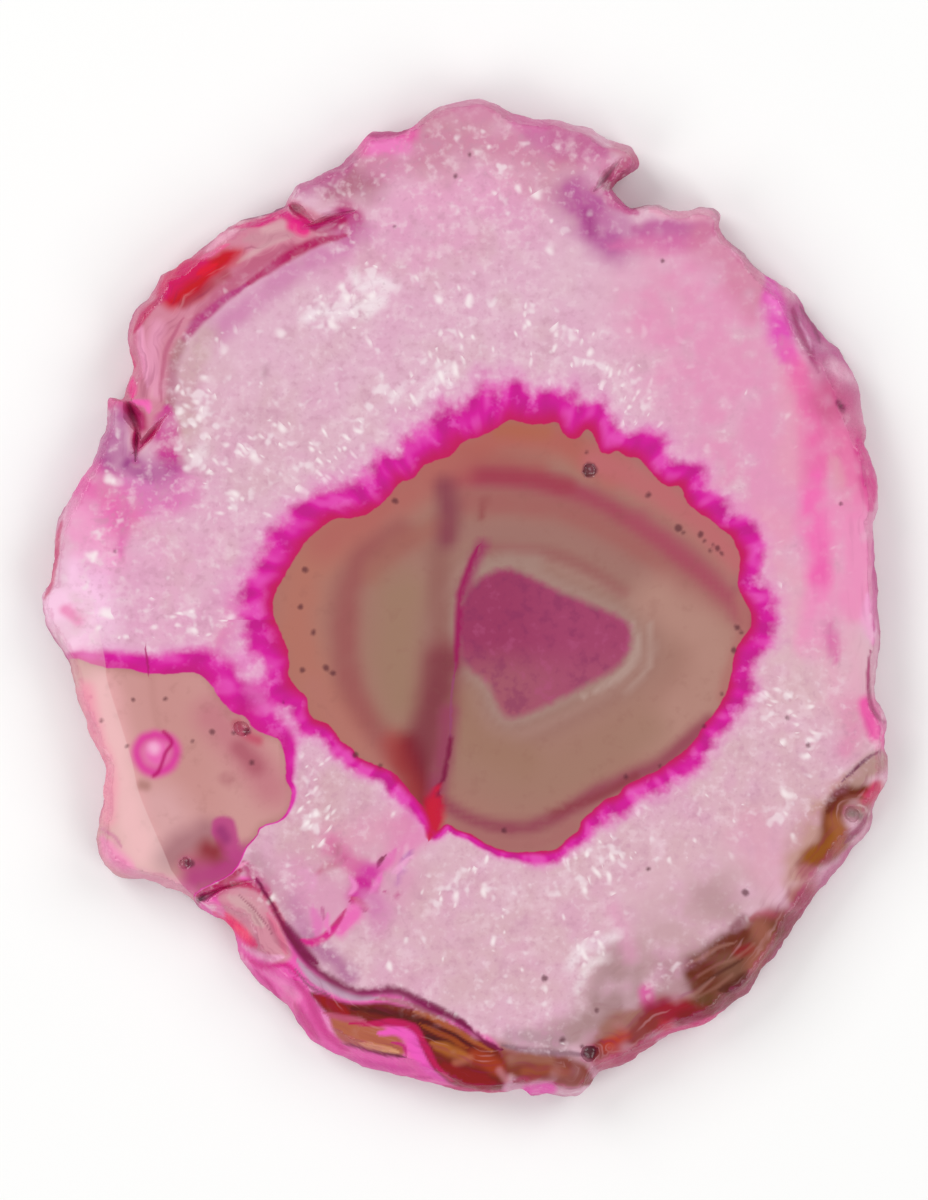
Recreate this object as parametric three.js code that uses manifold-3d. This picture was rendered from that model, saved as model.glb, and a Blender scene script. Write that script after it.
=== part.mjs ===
import * as THREE from "three";
import { ImprovedNoise } from "three/addons/math/ImprovedNoise.js";
import { mergeVertices } from "three/addons/utils/BufferGeometryUtils.js";
import Module from "manifold-3d";

// A slice sawn across an agate nodule, dyed pink and polished on both faces, lying flat on one of them.
// Millimetres. +X runs across the slice, +Y along its longest way and +Z up out of the polished face.
// The origin is the middle of the face that it lies on.
const sliceLength = 100; // along Y, from tip to tip of the natural rim
const sliceThickness = 5.5; // between the two polished faces
const stationsPerSpan = 2; // how finely the rim is divided between two points of its outline
const directionReach = 4; // stations on each side that the rim's outward direction is averaged over
const stoneColour = 0xe2a9c4; // pale dyed quartz

// The outline seen from above, clockwise from the top, for a slice 100.2 mm long: x, y, and the lip,
// which is how far the rough rim reaches out past the polished face there.
const outlineLength = 100.2;
const outline = [
  // the crown, and the chip in its right shoulder
  [1.5, 50.1, 0.6], [3.4, 49.35, 0.6], [4.8, 48.55, 0.6], [6.5, 48.05, 0.6], [8.8, 48.05, 0.6],
  [10.7, 47.65, 0.7], [12.7, 46.95, 0.7], [14.1, 45.95, 0.7], [15.7, 45.65, 0.7], [16.7, 45.15, 0.6],
  [17.3, 43.55, 0.5], [16.7, 42.75, 0.4], [15.5, 41.95, 0.4], [14.7, 41.05, 0.4], [15.6, 40.15, 0.4],
  [16.7, 39.25, 0.5], [18.3, 39.55, 0.6], [19.5, 39.45, 0.6], [20.6, 38.9, 0.6], [22.2, 38.95, 0.6],
  [23.5, 39.45, 0.7], [24.9, 39.1, 0.7], [25.65, 38.45, 0.6], [25.6, 37.25, 0.6],
  // the upper right, where the skin of the nodule slopes out furthest
  [26.5, 36.05, 0.8], [28.0, 34.65, 0.8], [28.8, 33.65, 0.8], [30.5, 32.35, 1.0], [32.5, 30.85, 1.4],
  [33.6, 29.65, 1.8], [34.7, 27.85, 2.2], [36.0, 26.05, 2.4], [37.7, 25.1, 2.6], [38.7, 23.25, 2.6],
  [39.4, 21.45, 2.4], [39.7, 19.35, 2.2], [40.4, 16.85, 1.8], [40.1, 15.65, 1.2], [40.9, 13.85, 1.2],
  [41.4, 11.65, 1.2], [41.6, 8.95, 0.9],
  // the right side
  [41.0, 7.55, 0.7], [41.15, 4.65, 0.6], [41.0, 2.45, 0.6], [41.4, -0.15, 0.6], [41.7, -3.95, 0.6],
  [41.3, -7.35, 0.7], [41.15, -10.15, 0.7], [41.7, -11.35, 0.6], [42.4, -12.95, 0.6], [42.1, -14.95, 0.6],
  // the lower right, along the brown skin
  [42.4, -17.55, 0.9], [41.9, -19.45, 1.0], [41.0, -20.95, 1.0], [40.6, -22.85, 1.2], [39.6, -24.15, 1.6],
  [38.6, -25.55, 1.8], [37.3, -27.55, 1.8], [35.6, -29.15, 1.6], [34.1, -31.15, 1.2], [32.5, -33.55, 1.1],
  [31.2, -35.65, 1.0], [29.7, -37.75, 1.0], [28.4, -39.55, 1.0], [26.5, -40.75, 1.2], [24.9, -42.25, 1.2],
  [22.9, -43.05, 1.2], [20.5, -43.85, 1.3], [18.6, -45.25, 1.2], [17.2, -46.15, 1.0], [15.0, -46.95, 1.0],
  // the foot
  [13.3, -47.55, 0.8], [12.5, -48.75, 0.7], [11.8, -49.75, 0.7], [10.1, -50.05, 0.9], [8.2, -49.75, 1.2],
  [6.6, -49.85, 1.2], [5.8, -49.15, 0.9], [4.0, -49.45, 0.6], [1.3, -49.55, 0.6], [-1.5, -48.95, 0.8],
  // the lower left, where the folded skin shows as a fringe
  [-4.1, -48.45, 1.6], [-6.9, -47.85, 2.0], [-10.3, -46.85, 2.2], [-12.9, -45.85, 2.2],
  [-14.9, -44.75, 2.4], [-16.5, -43.05, 2.6], [-17.7, -40.65, 2.6], [-19.5, -39.85, 2.6],
  [-21.0, -38.05, 2.6], [-22.7, -36.15, 2.4], [-22.9, -34.55, 2.2], [-23.4, -32.95, 1.8],
  [-24.7, -31.95, 1.4], [-26.3, -31.15, 0.9], [-27.4, -30.25, 0.5],
  // the left lobe
  [-28.9, -29.45, 0.6], [-31.0, -28.65, 0.8], [-33.3, -28.25, 1.0], [-35.3, -27.45, 1.2],
  [-36.5, -26.15, 1.2], [-37.0, -24.15, 1.0], [-36.6, -22.15, 0.9], [-36.3, -20.65, 0.9],
  [-36.5, -18.85, 0.9], [-36.1, -17.05, 0.9], [-37.0, -15.15, 0.8], [-37.7, -12.95, 0.7],
  [-38.7, -10.45, 0.6], [-39.2, -8.35, 0.6], [-39.8, -6.15, 0.6], [-41.1, -4.05, 0.6],
  [-42.2, -1.85, 0.6], [-42.5, 0.45, 0.6], [-41.7, 1.55, 0.7], [-41.5, 3.25, 0.9], [-41.3, 4.75, 0.9],
  [-40.8, 7.75, 0.9], [-39.8, 9.65, 0.9], [-38.5, 12.15, 0.8], [-37.4, 13.65, 0.8], [-36.7, 15.75, 0.7],
  [-35.8, 17.55, 0.6], [-35.75, 19.05, 0.5], [-35.5, 20.15, 0.4], [-34.1, 19.95, 0.4],
  // the pocket of outer agate in the upper left
  [-33.7, 21.65, 0.6], [-33.2, 23.25, 0.8], [-33.9, 25.25, 0.9], [-33.8, 27.35, 1.0],
  [-33.1, 29.05, 1.1], [-31.6, 30.45, 1.2], [-30.7, 32.05, 1.1], [-30.4, 32.65, 1.0],
  [-28.9, 33.35, 0.9], [-27.8, 34.05, 0.8], [-26.0, 35.15, 0.8], [-24.5, 36.45, 0.8],
  [-22.7, 37.75, 0.8], [-20.7, 38.35, 0.8], [-18.1, 39.35, 0.6], [-17.6, 40.55, 0.5],
  // back up to the crown
  [-16.9, 41.55, 0.6], [-14.9, 42.25, 0.7], [-13.7, 43.05, 0.8], [-12.6, 43.35, 0.8],
  [-11.2, 44.75, 0.8], [-10.2, 46.05, 0.8], [-9.2, 46.65, 0.7], [-7.1, 46.75, 0.6],
  [-5.3, 47.55, 0.6], [-3.5, 48.85, 0.6], [-1.5, 49.65, 0.6],
];

// The rim's section. Each row gives its height above the lower face, how far in it lies, as a share of
// the lip and in millimetres, and how rough the skin is there. The first and last rows lie outside the
// slice, where the nodule went on before it was sawn.
const rimSection = [
  { height: -0.6, lipShare: 0, inset: 1.3, roughness: 0.6 },
  { height: 0.45, lipShare: 0, inset: 0.3, roughness: 1 },
  { height: 1.4, lipShare: 0, inset: 0, roughness: 1 },
  { height: 2.4, lipShare: 0, inset: 0, roughness: 0.8 },
  { height: 3.4, lipShare: 0.25, inset: 0, roughness: 1 },
  { height: 4.3, lipShare: 0.55, inset: 0, roughness: 1 },
  { height: 5.15, lipShare: 0.9, inset: 0, roughness: 0.6 },
  { height: 6.1, lipShare: 1.1, inset: 0.4, roughness: 0.4 },
];

// The lumps of the natural skin: the distance from one to the next and how deep they are.
const skinLumps = [
  { pitch: 4.5, depth: 0.5 },
  { pitch: 2.1, depth: 0.25 },
];
const lumpSquash = 2; // a lump is this many times as long round the rim as it is high

// Clefts where the skin folds into the polished face, each cut as a long diamond:
// its middle, length, width, depth and turn from +X in degrees.
const clefts = [
  { x: -33.3, y: 18.4, length: 5.2, width: 1.7, depth: 2.2, turn: 110 },
  { x: -32.9, y: 15.9, length: 4.4, width: 0.8, depth: 1.1, turn: 88 },
  { x: -31.4, y: 16.6, length: 5.6, width: 0.7, depth: 0.7, turn: 48 },
  { x: -16.8, y: 38.9, length: 4.2, width: 1.1, depth: 1.7, turn: 147 },
  { x: -13.6, y: 38.0, length: 5.4, width: 0.8, depth: 0.9, turn: 18 },
  { x: -26.2, y: -30.0, length: 5.2, width: 1.1, depth: 1.8, turn: 27 },
  { x: -23.2, y: -28.7, length: 4.6, width: 0.6, depth: 0.7, turn: 14 },
  { x: 14.3, y: 42.4, length: 4.4, width: 1.2, depth: 1.6, turn: 50 },
];

// Pits left open in the polish: the middle, the radius at the face and the depth.
const pits = [
  { x: -22.4, y: -13.0, radius: 0.7, depth: 0.5 },
  { x: -28.0, y: -26.5, radius: 0.5, depth: 0.4 },
  { x: 12.5, y: -45.5, radius: 0.8, depth: 0.7 },
  { x: 12.5, y: 12.8, radius: 0.6, depth: 0.3 },
  { x: 38.7, y: -21.6, radius: 0.8, depth: 0.6 },
];
const diamondSides = 4; // a cleft is a V across, and its ends come to a point
const diamondRows = 2;
const pitSides = 10; // round a pit
const pitRows = 6; // from the top of the bowl's sphere to its bottom
const placeDigits = 3; // decimals of a millimetre that tell two places on the outline apart
const weldDistance = 1e-4; // corners closer than this are one corner

const scale = sliceLength / outlineLength;
const noise = new ImprovedNoise();

/** How far the natural skin stands in or out at a place, in millimetres. */
function skinRelief(x, y, z) {
  return skinLumps.reduce(
    (sum, { pitch, depth }) => sum + depth * noise.noise(x / pitch, y / pitch, (lumpSquash * z) / pitch),
    0,
  );
}

/** Places round the rim, counter-clockwise from above, each with its outward direction and lip. */
function rimStations() {
  const points = outline.map(([x, y, lip]) => new THREE.Vector3(x, y, lip)).reverse();
  const curve = new THREE.CatmullRomCurve3(points, true, "centripetal");
  const count = points.length * stationsPerSpan;
  const places = Array.from({ length: count }, (_, i) => curve.getPoint(i / count));
  return places.map((place, i) => {
    const before = places[(i - directionReach + count) % count];
    const after = places[(i + directionReach) % count];
    const outward = new THREE.Vector2(after.y - before.y, before.x - after.x).normalize();
    return { x: place.x * scale, y: place.y * scale, lip: place.z * scale, outward };
  });
}

/** Names a place on the outline, so that a corner of the extrusion finds the station it came from. */
function placeName(x, y) {
  return `${x.toFixed(placeDigits)} ${y.toFixed(placeDigits)}`;
}

/** The part of the nodule round the slice: the outline extruded, and each row of corners moved in or out. */
function noduleGeometry() {
  const stations = rimStations();
  const stationAt = new Map(stations.map((station) => [placeName(station.x, station.y), station]));
  const shape = new THREE.Shape(stations.map(({ x, y }) => new THREE.Vector2(x, y)));
  const steps = rimSection.length - 1;
  const geometry = new THREE.ExtrudeGeometry(shape, { depth: steps, steps, bevelEnabled: false });
  const corners = geometry.getAttribute("position");
  for (let i = 0; i < corners.count; i++) {
    const { x, y, lip, outward } = stationAt.get(placeName(corners.getX(i), corners.getY(i)));
    const { height, lipShare, inset, roughness } = rimSection[Math.round(corners.getZ(i))];
    const reach = roughness * skinRelief(x, y, height) - lipShare * lip - inset;
    corners.setXYZ(i, x + outward.x * reach, y + outward.y * reach, height);
  }
  return geometry;
}

/** The space between the two saw cuts. */
function sawnGeometry() {
  return new THREE.BoxGeometry(2 * sliceLength, 2 * sliceLength, sliceThickness)
    .translate(0, 0, sliceThickness / 2);
}

/** A long diamond to be cut into the upper face. */
function cleftGeometry({ x, y, length, width, depth, turn }) {
  return new THREE.SphereGeometry(1, diamondSides, diamondRows)
    .rotateX(Math.PI / 2)
    .scale(length / 2, width / 2, depth)
    .rotateZ(THREE.MathUtils.degToRad(turn))
    .translate(x * scale, y * scale, sliceThickness);
}

/** A shallow bowl to be cut into the upper face. */
function pitGeometry({ x, y, radius, depth }) {
  return new THREE.SphereGeometry(1, pitSides, pitRows)
    .rotateX(Math.PI / 2)
    .scale(radius, radius, depth)
    .translate(x * scale, y * scale, sliceThickness);
}

const wasm = await Module();
wasm.setup();

/** A closed geometry as a solid that can be cut. */
function solidOf(geometry) {
  const bare = geometry.clone();
  bare.deleteAttribute("normal");
  bare.deleteAttribute("uv");
  const merged = mergeVertices(bare, weldDistance);
  return new wasm.Manifold(
    new wasm.Mesh({
      numProp: 3,
      vertProperties: merged.getAttribute("position").array,
      triVerts: new Uint32Array(merged.getIndex().array),
    }),
  );
}

/** A solid as a geometry, moved so that its lower face is centred on the origin. */
function centredGeometry(solid) {
  const { vertProperties, triVerts } = solid.getMesh();
  const geometry = new THREE.BufferGeometry()
    .setAttribute("position", new THREE.BufferAttribute(new Float32Array(vertProperties), 3))
    .setIndex(new THREE.BufferAttribute(new Uint32Array(triVerts), 1));
  geometry.computeBoundingBox();
  const middle = geometry.boundingBox.getCenter(new THREE.Vector3());
  geometry.translate(-middle.x, -middle.y, 0);
  geometry.computeVertexNormals();
  return geometry;
}

const sawn = solidOf(noduleGeometry()).intersect(solidOf(sawnGeometry()));
const cuts = [...clefts.map(cleftGeometry), ...pits.map(pitGeometry)];
const stone = cuts.reduce((solid, cut) => solid.subtract(solidOf(cut)), sawn);

const agateSlice = new THREE.Mesh(
  centredGeometry(stone),
  new THREE.MeshStandardMaterial({ color: stoneColour, roughness: 0.2, metalness: 0 }),
);
agateSlice.name = "agate_slice";

const slice = new THREE.Group();
slice.add(agateSlice);

export default slice;
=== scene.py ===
import bmesh
import bpy
import numpy as np
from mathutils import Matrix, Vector, noise
from mathutils.kdtree import KDTree


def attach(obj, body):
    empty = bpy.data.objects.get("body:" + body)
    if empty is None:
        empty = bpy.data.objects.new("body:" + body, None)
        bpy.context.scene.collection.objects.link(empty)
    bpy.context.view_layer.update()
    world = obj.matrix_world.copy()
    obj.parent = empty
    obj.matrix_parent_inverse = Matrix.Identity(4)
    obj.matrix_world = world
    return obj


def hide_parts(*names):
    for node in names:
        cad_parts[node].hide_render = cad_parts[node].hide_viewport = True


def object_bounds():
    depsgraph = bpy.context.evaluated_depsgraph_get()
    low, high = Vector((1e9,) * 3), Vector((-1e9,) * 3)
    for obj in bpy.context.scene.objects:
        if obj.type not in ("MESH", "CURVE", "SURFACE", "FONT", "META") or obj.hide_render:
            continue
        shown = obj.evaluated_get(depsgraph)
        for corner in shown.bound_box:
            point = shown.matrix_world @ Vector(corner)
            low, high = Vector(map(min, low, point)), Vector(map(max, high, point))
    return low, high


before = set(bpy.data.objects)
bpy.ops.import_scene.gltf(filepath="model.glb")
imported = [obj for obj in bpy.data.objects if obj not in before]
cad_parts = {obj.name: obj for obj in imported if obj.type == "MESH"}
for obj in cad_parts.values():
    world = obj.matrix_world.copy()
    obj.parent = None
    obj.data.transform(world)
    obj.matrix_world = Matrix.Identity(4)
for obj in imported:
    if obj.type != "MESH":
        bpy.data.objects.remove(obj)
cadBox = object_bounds()
print("frame loaded")

mmPerMetre = 1000.0
tiny = 1e-12  # stands in for zero where something is divided by it

# The pattern was traced in steps of a tenth of a millimetre, x to the right and y down
traceStep = 0.0998  # mm for each step once the slice is 100 mm long
traceMiddle = (46.43, 59.65)  # mm from the tracing's upper left corner to the middle of the slice


def hexColour(text):
    # sRGB hex to the linear colour that shaders take
    channels = [int(text[i:i + 2], 16) / 255 for i in (0, 2, 4)]
    return tuple(c / 12.92 if c <= 0.04045 else ((c + 0.055) / 1.055) ** 2.4 for c in channels)


def onStone(points):
    # traced points as millimetres in the slice's own frame
    p = np.array(points, float)[:, :2] * traceStep
    return np.column_stack((p[:, 0] - traceMiddle[0], traceMiddle[1] - p[:, 1]))


def smoothLine(points, closed=False, parts=4):
    # a Catmull-Rom curve through the points, cut into short straight parts
    before, after = (points[-1:], points[:2]) if closed else (points[:1], points[-1:])
    p = np.vstack((before, points, after))
    a, b, c, d = p[:-3, None], p[1:-2, None], p[2:-1, None], p[3:, None]
    t = np.linspace(0, 1, parts, endpoint=False)[None, :, None]
    bend, twist = 2 * a - 5 * b + 4 * c - d, 3 * b - a - 3 * c + d
    line = 0.5 * (2 * b + (c - a) * t + bend * t ** 2 + twist * t ** 3)
    line = line.reshape(-1, p.shape[1])
    return line if closed else np.vstack((line, points[-1:]))


def nearestOnLine(places, line, closed=False):
    # distance to a line of straight parts, and how far along its parts the nearest point lies
    a = line
    b = np.roll(line, -1, axis=0) if closed else line[1:]
    a = a if closed else a[:-1]
    best = np.full(len(places), np.inf)
    along = np.zeros(len(places))
    for i in range(len(b)):
        step = b[i] - a[i]
        t = np.clip(((places - a[i]) @ step) / max(step @ step, tiny), 0, 1)
        d = np.hypot(*(places - a[i] - t[:, None] * step).T)
        closer = d < best
        best[closer] = d[closer]
        along[closer] = i + t[closer]
    return best, along


def isInside(places, line):
    # even-odd rule
    x, y = places.T
    inside = np.zeros(len(places), bool)
    for (ax, ay), (bx, by) in zip(line, np.roll(line, -1, axis=0)):
        crosses = (ay > y) != (by > y)
        reach = ax + (y - ay) * (bx - ax) / ((by - ay) or tiny)
        inside ^= crosses & (x < reach)
    return inside


def edgeDistance(places, points):
    # signed distance to a closed curve, negative inside it, and the share of the way round
    line = smoothLine(onStone(points), closed=True)
    distance, along = nearestOnLine(places, line, closed=True)
    return np.where(isInside(places, line), -distance, distance), along / len(line)


def distanceTo(targets, spots):
    # from each spot to the target nearest to it
    tree = KDTree(len(targets))
    for i, (x, y) in enumerate(targets):
        tree.insert((x, y, 0), i)
    tree.balance()
    return np.array([tree.find((x, y, 0))[2] for x, y in spots])


def smoothStep(low, high, value):
    t = np.clip((value - low) / (high - low), 0, 1)
    return t * t * (3 - 2 * t)


def ripple(places, pitch, seed):
    # smooth random value from about -1 to 1 at each place, one wave to a pitch in mm
    return np.array([noise.noise(Vector((x / pitch, y / pitch, seed))) for x, y in places])


# Where the pattern runs, in tracing steps

pattern = {
    # edge of the banded chalcedony in the middle, against the dyed crystal ring
    "eye": [
        (514, 420), (528, 424), (544, 424), (557, 422), (562, 431), (569, 438), (578, 438), (587, 429),
        (595, 438), (600, 451), (609, 454), (618, 451), (627, 457), (638, 458), (647, 467), (658, 480),
        (668, 486), (681, 487), (686, 500), (695, 510), (708, 518), (719, 527), (731, 536), (736, 546),
        (740, 557), (739, 572), (738, 586), (744, 600), (750, 611), (751, 626), (744, 636), (735, 651),
        (733, 665), (730, 680), (726, 694), (719, 705), (712, 716), (703, 726), (697, 737), (685, 750),
        (670, 761), (658, 770), (643, 777), (625, 786), (618, 795), (604, 800), (593, 811), (582, 820),
        (578, 831), (568, 838), (557, 849), (542, 851), (528, 852), (514, 852), (499, 849), (485, 843),
        (470, 834), (456, 829), (447, 824), (436, 831), (427, 813), (413, 795), (398, 777), (388, 770),
        (373, 764), (359, 757), (352, 748), (341, 741), (334, 730), (326, 723), (314, 719), (308, 710),
        (307, 698), (296, 687), (289, 676), (289, 662), (287, 647), (282, 636), (278, 626), (274, 618),
        (273, 604), (276, 591), (283, 579), (290, 566), (299, 552), (308, 539), (321, 528), (335, 519),
        (352, 518), (366, 514), (380, 505), (391, 494), (400, 483), (413, 478), (425, 465), (438, 460),
        (452, 455), (463, 442), (478, 437), (492, 431), (505, 422),
    ],
    # width of the ring round it, mm, at places on that edge
    "ring": [
        (514, 420, 3.9), (569, 438, 3.2), (627, 457, 2.6), (681, 487, 2.6), (736, 546, 2.4), (751, 626, 2.6),
        (733, 665, 2.3), (703, 726, 2.1), (643, 777, 2.0), (593, 811, 1.8), (557, 849, 1.3), (514, 852, 0.9),
        (470, 834, 0.5), (436, 831, 0.9), (413, 795, 1.6), (373, 764, 1.5), (334, 730, 1.6), (308, 710, 2.0),
        (289, 676, 3.2), (282, 636, 3.6), (273, 604, 3.4), (299, 552, 3.3), (335, 519, 3.4), (391, 494, 3.2),
        (425, 465, 3.6), (478, 437, 3.8),
    ],
    # the core of the eye
    "core": [
        (494, 572), (512, 570), (539, 582), (564, 595), (600, 609), (622, 620), (630, 629), (628, 651),
        (614, 669), (593, 681), (564, 696), (542, 707), (517, 716), (506, 716), (497, 703), (488, 683),
        (470, 669), (461, 654), (460, 622), (464, 600), (475, 584),
    ],
    # the smaller chalcedony at the rim, lower left
    "lobe": [
        (105, 668), (130, 669), (143, 673), (175, 674), (190, 672), (203, 677), (213, 688), (219, 698),
        (232, 712), (245, 717), (252, 727), (262, 733), (275, 738), (282, 745), (286, 768), (285, 780),
        (291, 790), (290, 803), (287, 812), (280, 820), (268, 824), (260, 827), (255, 838), (247, 845),
        (232, 872), (195, 893), (193, 912), (150, 900), (90, 880), (60, 800), (60, 668),
    ],
    # width of the dyed line round the lobe, mm, at places on its edge
    "lobeRing": [
        (60, 668, 0.3), (105, 668, 1.6), (143, 673, 1.7), (190, 672, 2.1), (213, 688, 3.4), (245, 717, 4.2),
        (262, 733, 3.2), (282, 745, 1.5), (286, 768, 0.9), (291, 790, 0.5), (280, 820, 0.16),
        (255, 838, 0.12), (232, 872, 0.12), (195, 893, 0.12), (60, 800, 0.1),
    ],
    # painted light: a paler strip where the stone is thin enough at the left rim to let more light through
    "backlitVeil": [
        (0, 300), (60, 500), (84, 568), (104, 655), (107, 680), (121, 725), (132, 762), (139, 793),
        (155, 832), (171, 870), (190, 930), (-60, 930), (-60, 300),
    ],
}


# Specks of mineral in the stone: place and radius, both in tracing steps
specks = [
    (590, 470, 9), (587, 452, 3), (648, 495, 4), (678, 528, 5), (700, 535, 4), (704, 541, 3), (713, 545, 3),
    (718, 548, 4), (722, 553, 3), (710, 551, 3), (684, 533, 3), (305, 570, 4), (300, 607, 4), (314, 632, 4),
    (302, 670, 4), (326, 668, 5), (334, 673, 4), (395, 501, 4), (738, 628, 4), (742, 633, 3), (734, 650, 4),
    (722, 694, 3), (704, 726, 3), (660, 765, 3), (626, 777, 4), (505, 830, 4), (355, 755, 4), (381, 765, 4),
    (470, 155, 3), (455, 175, 3), (395, 227, 3), (662, 260, 3), (545, 978, 4), (648, 870, 3), (745, 893, 5),
    (808, 745, 3), (787, 718, 3), (115, 552, 3), (590, 1053, 8), (582, 1046, 3), (842, 406, 3),
    (840, 503, 3), (133, 700, 3), (166, 699, 3), (193, 742, 3), (234, 733, 3), (247, 731, 5), (252, 762, 4),
    (189, 864, 6), (212, 732, 4), (127, 746, 3), (101, 720, 3), (597, 1010, 3), (563, 1040, 4),
    (384, 284, 2), (283, 703, 2),
]


def widthAlong(points, table, along):
    # the widths in the table, spread along a closed curve between the places they are given at
    line = smoothLine(onStone(points), closed=True)
    spots = onStone(table)
    at = np.array([np.argmin(np.hypot(*(line - spot).T)) for spot in spots]) / len(line)
    order = np.argsort(at)
    widths = np.array([row[2] for row in table])[order]
    return np.interp(along, at[order], widths, period=1)


# The slice itself, carried on from the plain solid to its sawn faces and broken rim, in m

stoneForm = {
    "weld": 1e-6,
    "levelTurn": 0.01,  # rad, faces this close to level belong to a sawn face
    "levelShare": 0.9999,  # how much of such a face's normal points straight up or down
    "levelGap": 1e-6,
    "cutGap": 1e-8,  # corners this close to a cut lie on it
    "frontCell": 0.0006,
    "backCell": 0.0014,
    "gridShift": 0.000137,  # keeps the cuts off the rim's own corners
    "fineCuts": 2,  # front cells with fine bands in them are cut this many times again
    "fineZones": [  # half width in mm and path in tracing steps: the fine bands away from the rim
        (4.2, [(215, 890), (270, 945), (320, 1000), (390, 1030), (470, 1055), (540, 1070)]),
        (3.6, [(330, 215), (250, 255), (190, 310), (155, 370), (150, 430)]),
        (4.0, [(130, 700), (160, 760), (200, 830)]),
        (3.6, [(860, 780), (820, 850), (750, 940), (650, 1020)]),
        (2.0, [(388, 856), (360, 890), (322, 930)]),
        (0.8, pattern["eye"] + pattern["eye"][:1]),
        *((0.55, [(x, y), (x + 1, y)]) for x, y, _ in specks),
    ],
    "fineReach": 2.0,  # mm in from the rim
    "rimCuts": 2,
    "rimSmoothing": 0.4,
    "rimPasses": 2,
    "arris": 0.00012,  # how far the worn edge of the sawn faces is rubbed down
    "arrisShare": 0.6,  # of that everywhere
    "arrisWave": 0.4,  # of that more or less from place to place
    "arrisPitch": 0.001,
    "brinkShare": 0.6,  # of the lumps, at the edge of a sawn face
    "sink": 0.00006,  # the lumps start this far inside the plain solid
    "lumps": [(0.0021, 0.00022), (0.0009, 0.00013), (0.0004, 0.00006)],  # pitch and depth
    "lumpShift": 7,  # pitches between the places that two sizes of lump are read at
    "leastOutward": 1e-3,  # a corner whose normal points outwards less than this stays where it is
}


def sawnFaces(bm, height, up, form):
    return [
        f for f in bm.faces
        if f.normal.z * up > form["levelShare"] and abs(f.calc_center_median().z - height) < form["levelGap"]
    ]


def cutIntoCells(bm, faces, cell, form):
    # one sweep of cuts across, then one along; each cut only touches what is still ahead of it
    for axis, normal in enumerate((Vector((1, 0, 0)), Vector((0, 1, 0)))):
        corners = {v for f in faces for v in f.verts}
        position = min(v.co[axis] for v in corners) + form["gridShift"]
        high = max(v.co[axis] for v in corners)
        done, ahead = [], list(faces)
        while position < high:
            edges = {e for f in ahead for e in f.edges}
            verts = {v for f in ahead for v in f.verts}
            cut = bmesh.ops.bisect_plane(
                bm, geom=list(verts) + list(edges) + ahead, dist=form["cutGap"],
                plane_co=normal * position, plane_no=normal,
            )
            ahead = []
            for face in (g for g in cut["geom"] if isinstance(g, bmesh.types.BMFace)):
                middle = sum(v.co[axis] for v in face.verts) / len(face.verts)
                (ahead if middle > position else done).append(face)
            position += cell
        faces = done + ahead
    return faces


def cutFiner(bm, faces, form):
    # the cells near the rim and in the fine zones are divided once more
    spots = np.array([f.calc_center_median()[:2] for f in faces]) * mmPerMetre
    corners = {v for f in faces for v in f.verts}
    brink = np.array([
        v.co[:2] for v in corners if not all(abs(f.normal.z) > form["levelShare"] for f in v.link_faces)
    ]) * mmPerMetre
    fine = distanceTo(brink, spots) < form["fineReach"]
    for halfWidth, path in form["fineZones"]:
        fine |= nearestOnLine(spots, onStone(path))[0] < halfWidth
    chosen = [f for f, wanted in zip(faces, fine) if wanted]
    quads = [f for f in chosen if len(f.verts) == 4]
    others = bmesh.ops.triangulate(bm, faces=[f for f in chosen if len(f.verts) != 4])["faces"]
    edges = {e for f in quads + others for e in f.edges}
    bmesh.ops.subdivide_edges(bm, edges=list(edges), cuts=form["fineCuts"], use_grid_fill=True)


def roughenRim(bm, form):
    # worn and broken stone: lumps on the rim, and a blunt arris round both sawn faces
    top = cadBox[1][2]
    level = set(sawnFaces(bm, top, 1, form) + sawnFaces(bm, 0, -1, form))
    rim = [v for v in bm.verts if not any(f in level for f in v.link_faces)]
    brink = {v for f in level for v in f.verts if any(g not in level for g in v.link_faces)}
    for _ in range(form["rimPasses"]):
        bmesh.ops.smooth_vert(
            bm, verts=rim, factor=form["rimSmoothing"], use_axis_x=True, use_axis_y=True, use_axis_z=True,
        )
    bm.normal_update()
    shifts = {}
    for v in rim + list(brink):
        lump = sum(
            depth * noise.noise(v.co / pitch + Vector((form["lumpShift"] * i, 0, 0)))
            for i, (pitch, depth) in enumerate(form["lumps"])
        )
        way = v.normal.copy()
        if v in brink:
            way.z = 0
            lump *= form["brinkShare"]
        if way.length > form["leastOutward"]:
            shifts[v] = way.normalized() * (lump - form["sink"])
    for v, shift in shifts.items():
        v.co += shift
        if v in brink:
            wave = form["arrisWave"] * noise.noise(v.co / form["arrisPitch"])
            worn = form["arris"] * (form["arrisShare"] + wave)
            v.co.z += worn if v.co.z < top / 2 else -worn
        for axis in range(3):
            v.co[axis] = min(max(v.co[axis], cadBox[0][axis]), cadBox[1][axis])


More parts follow.
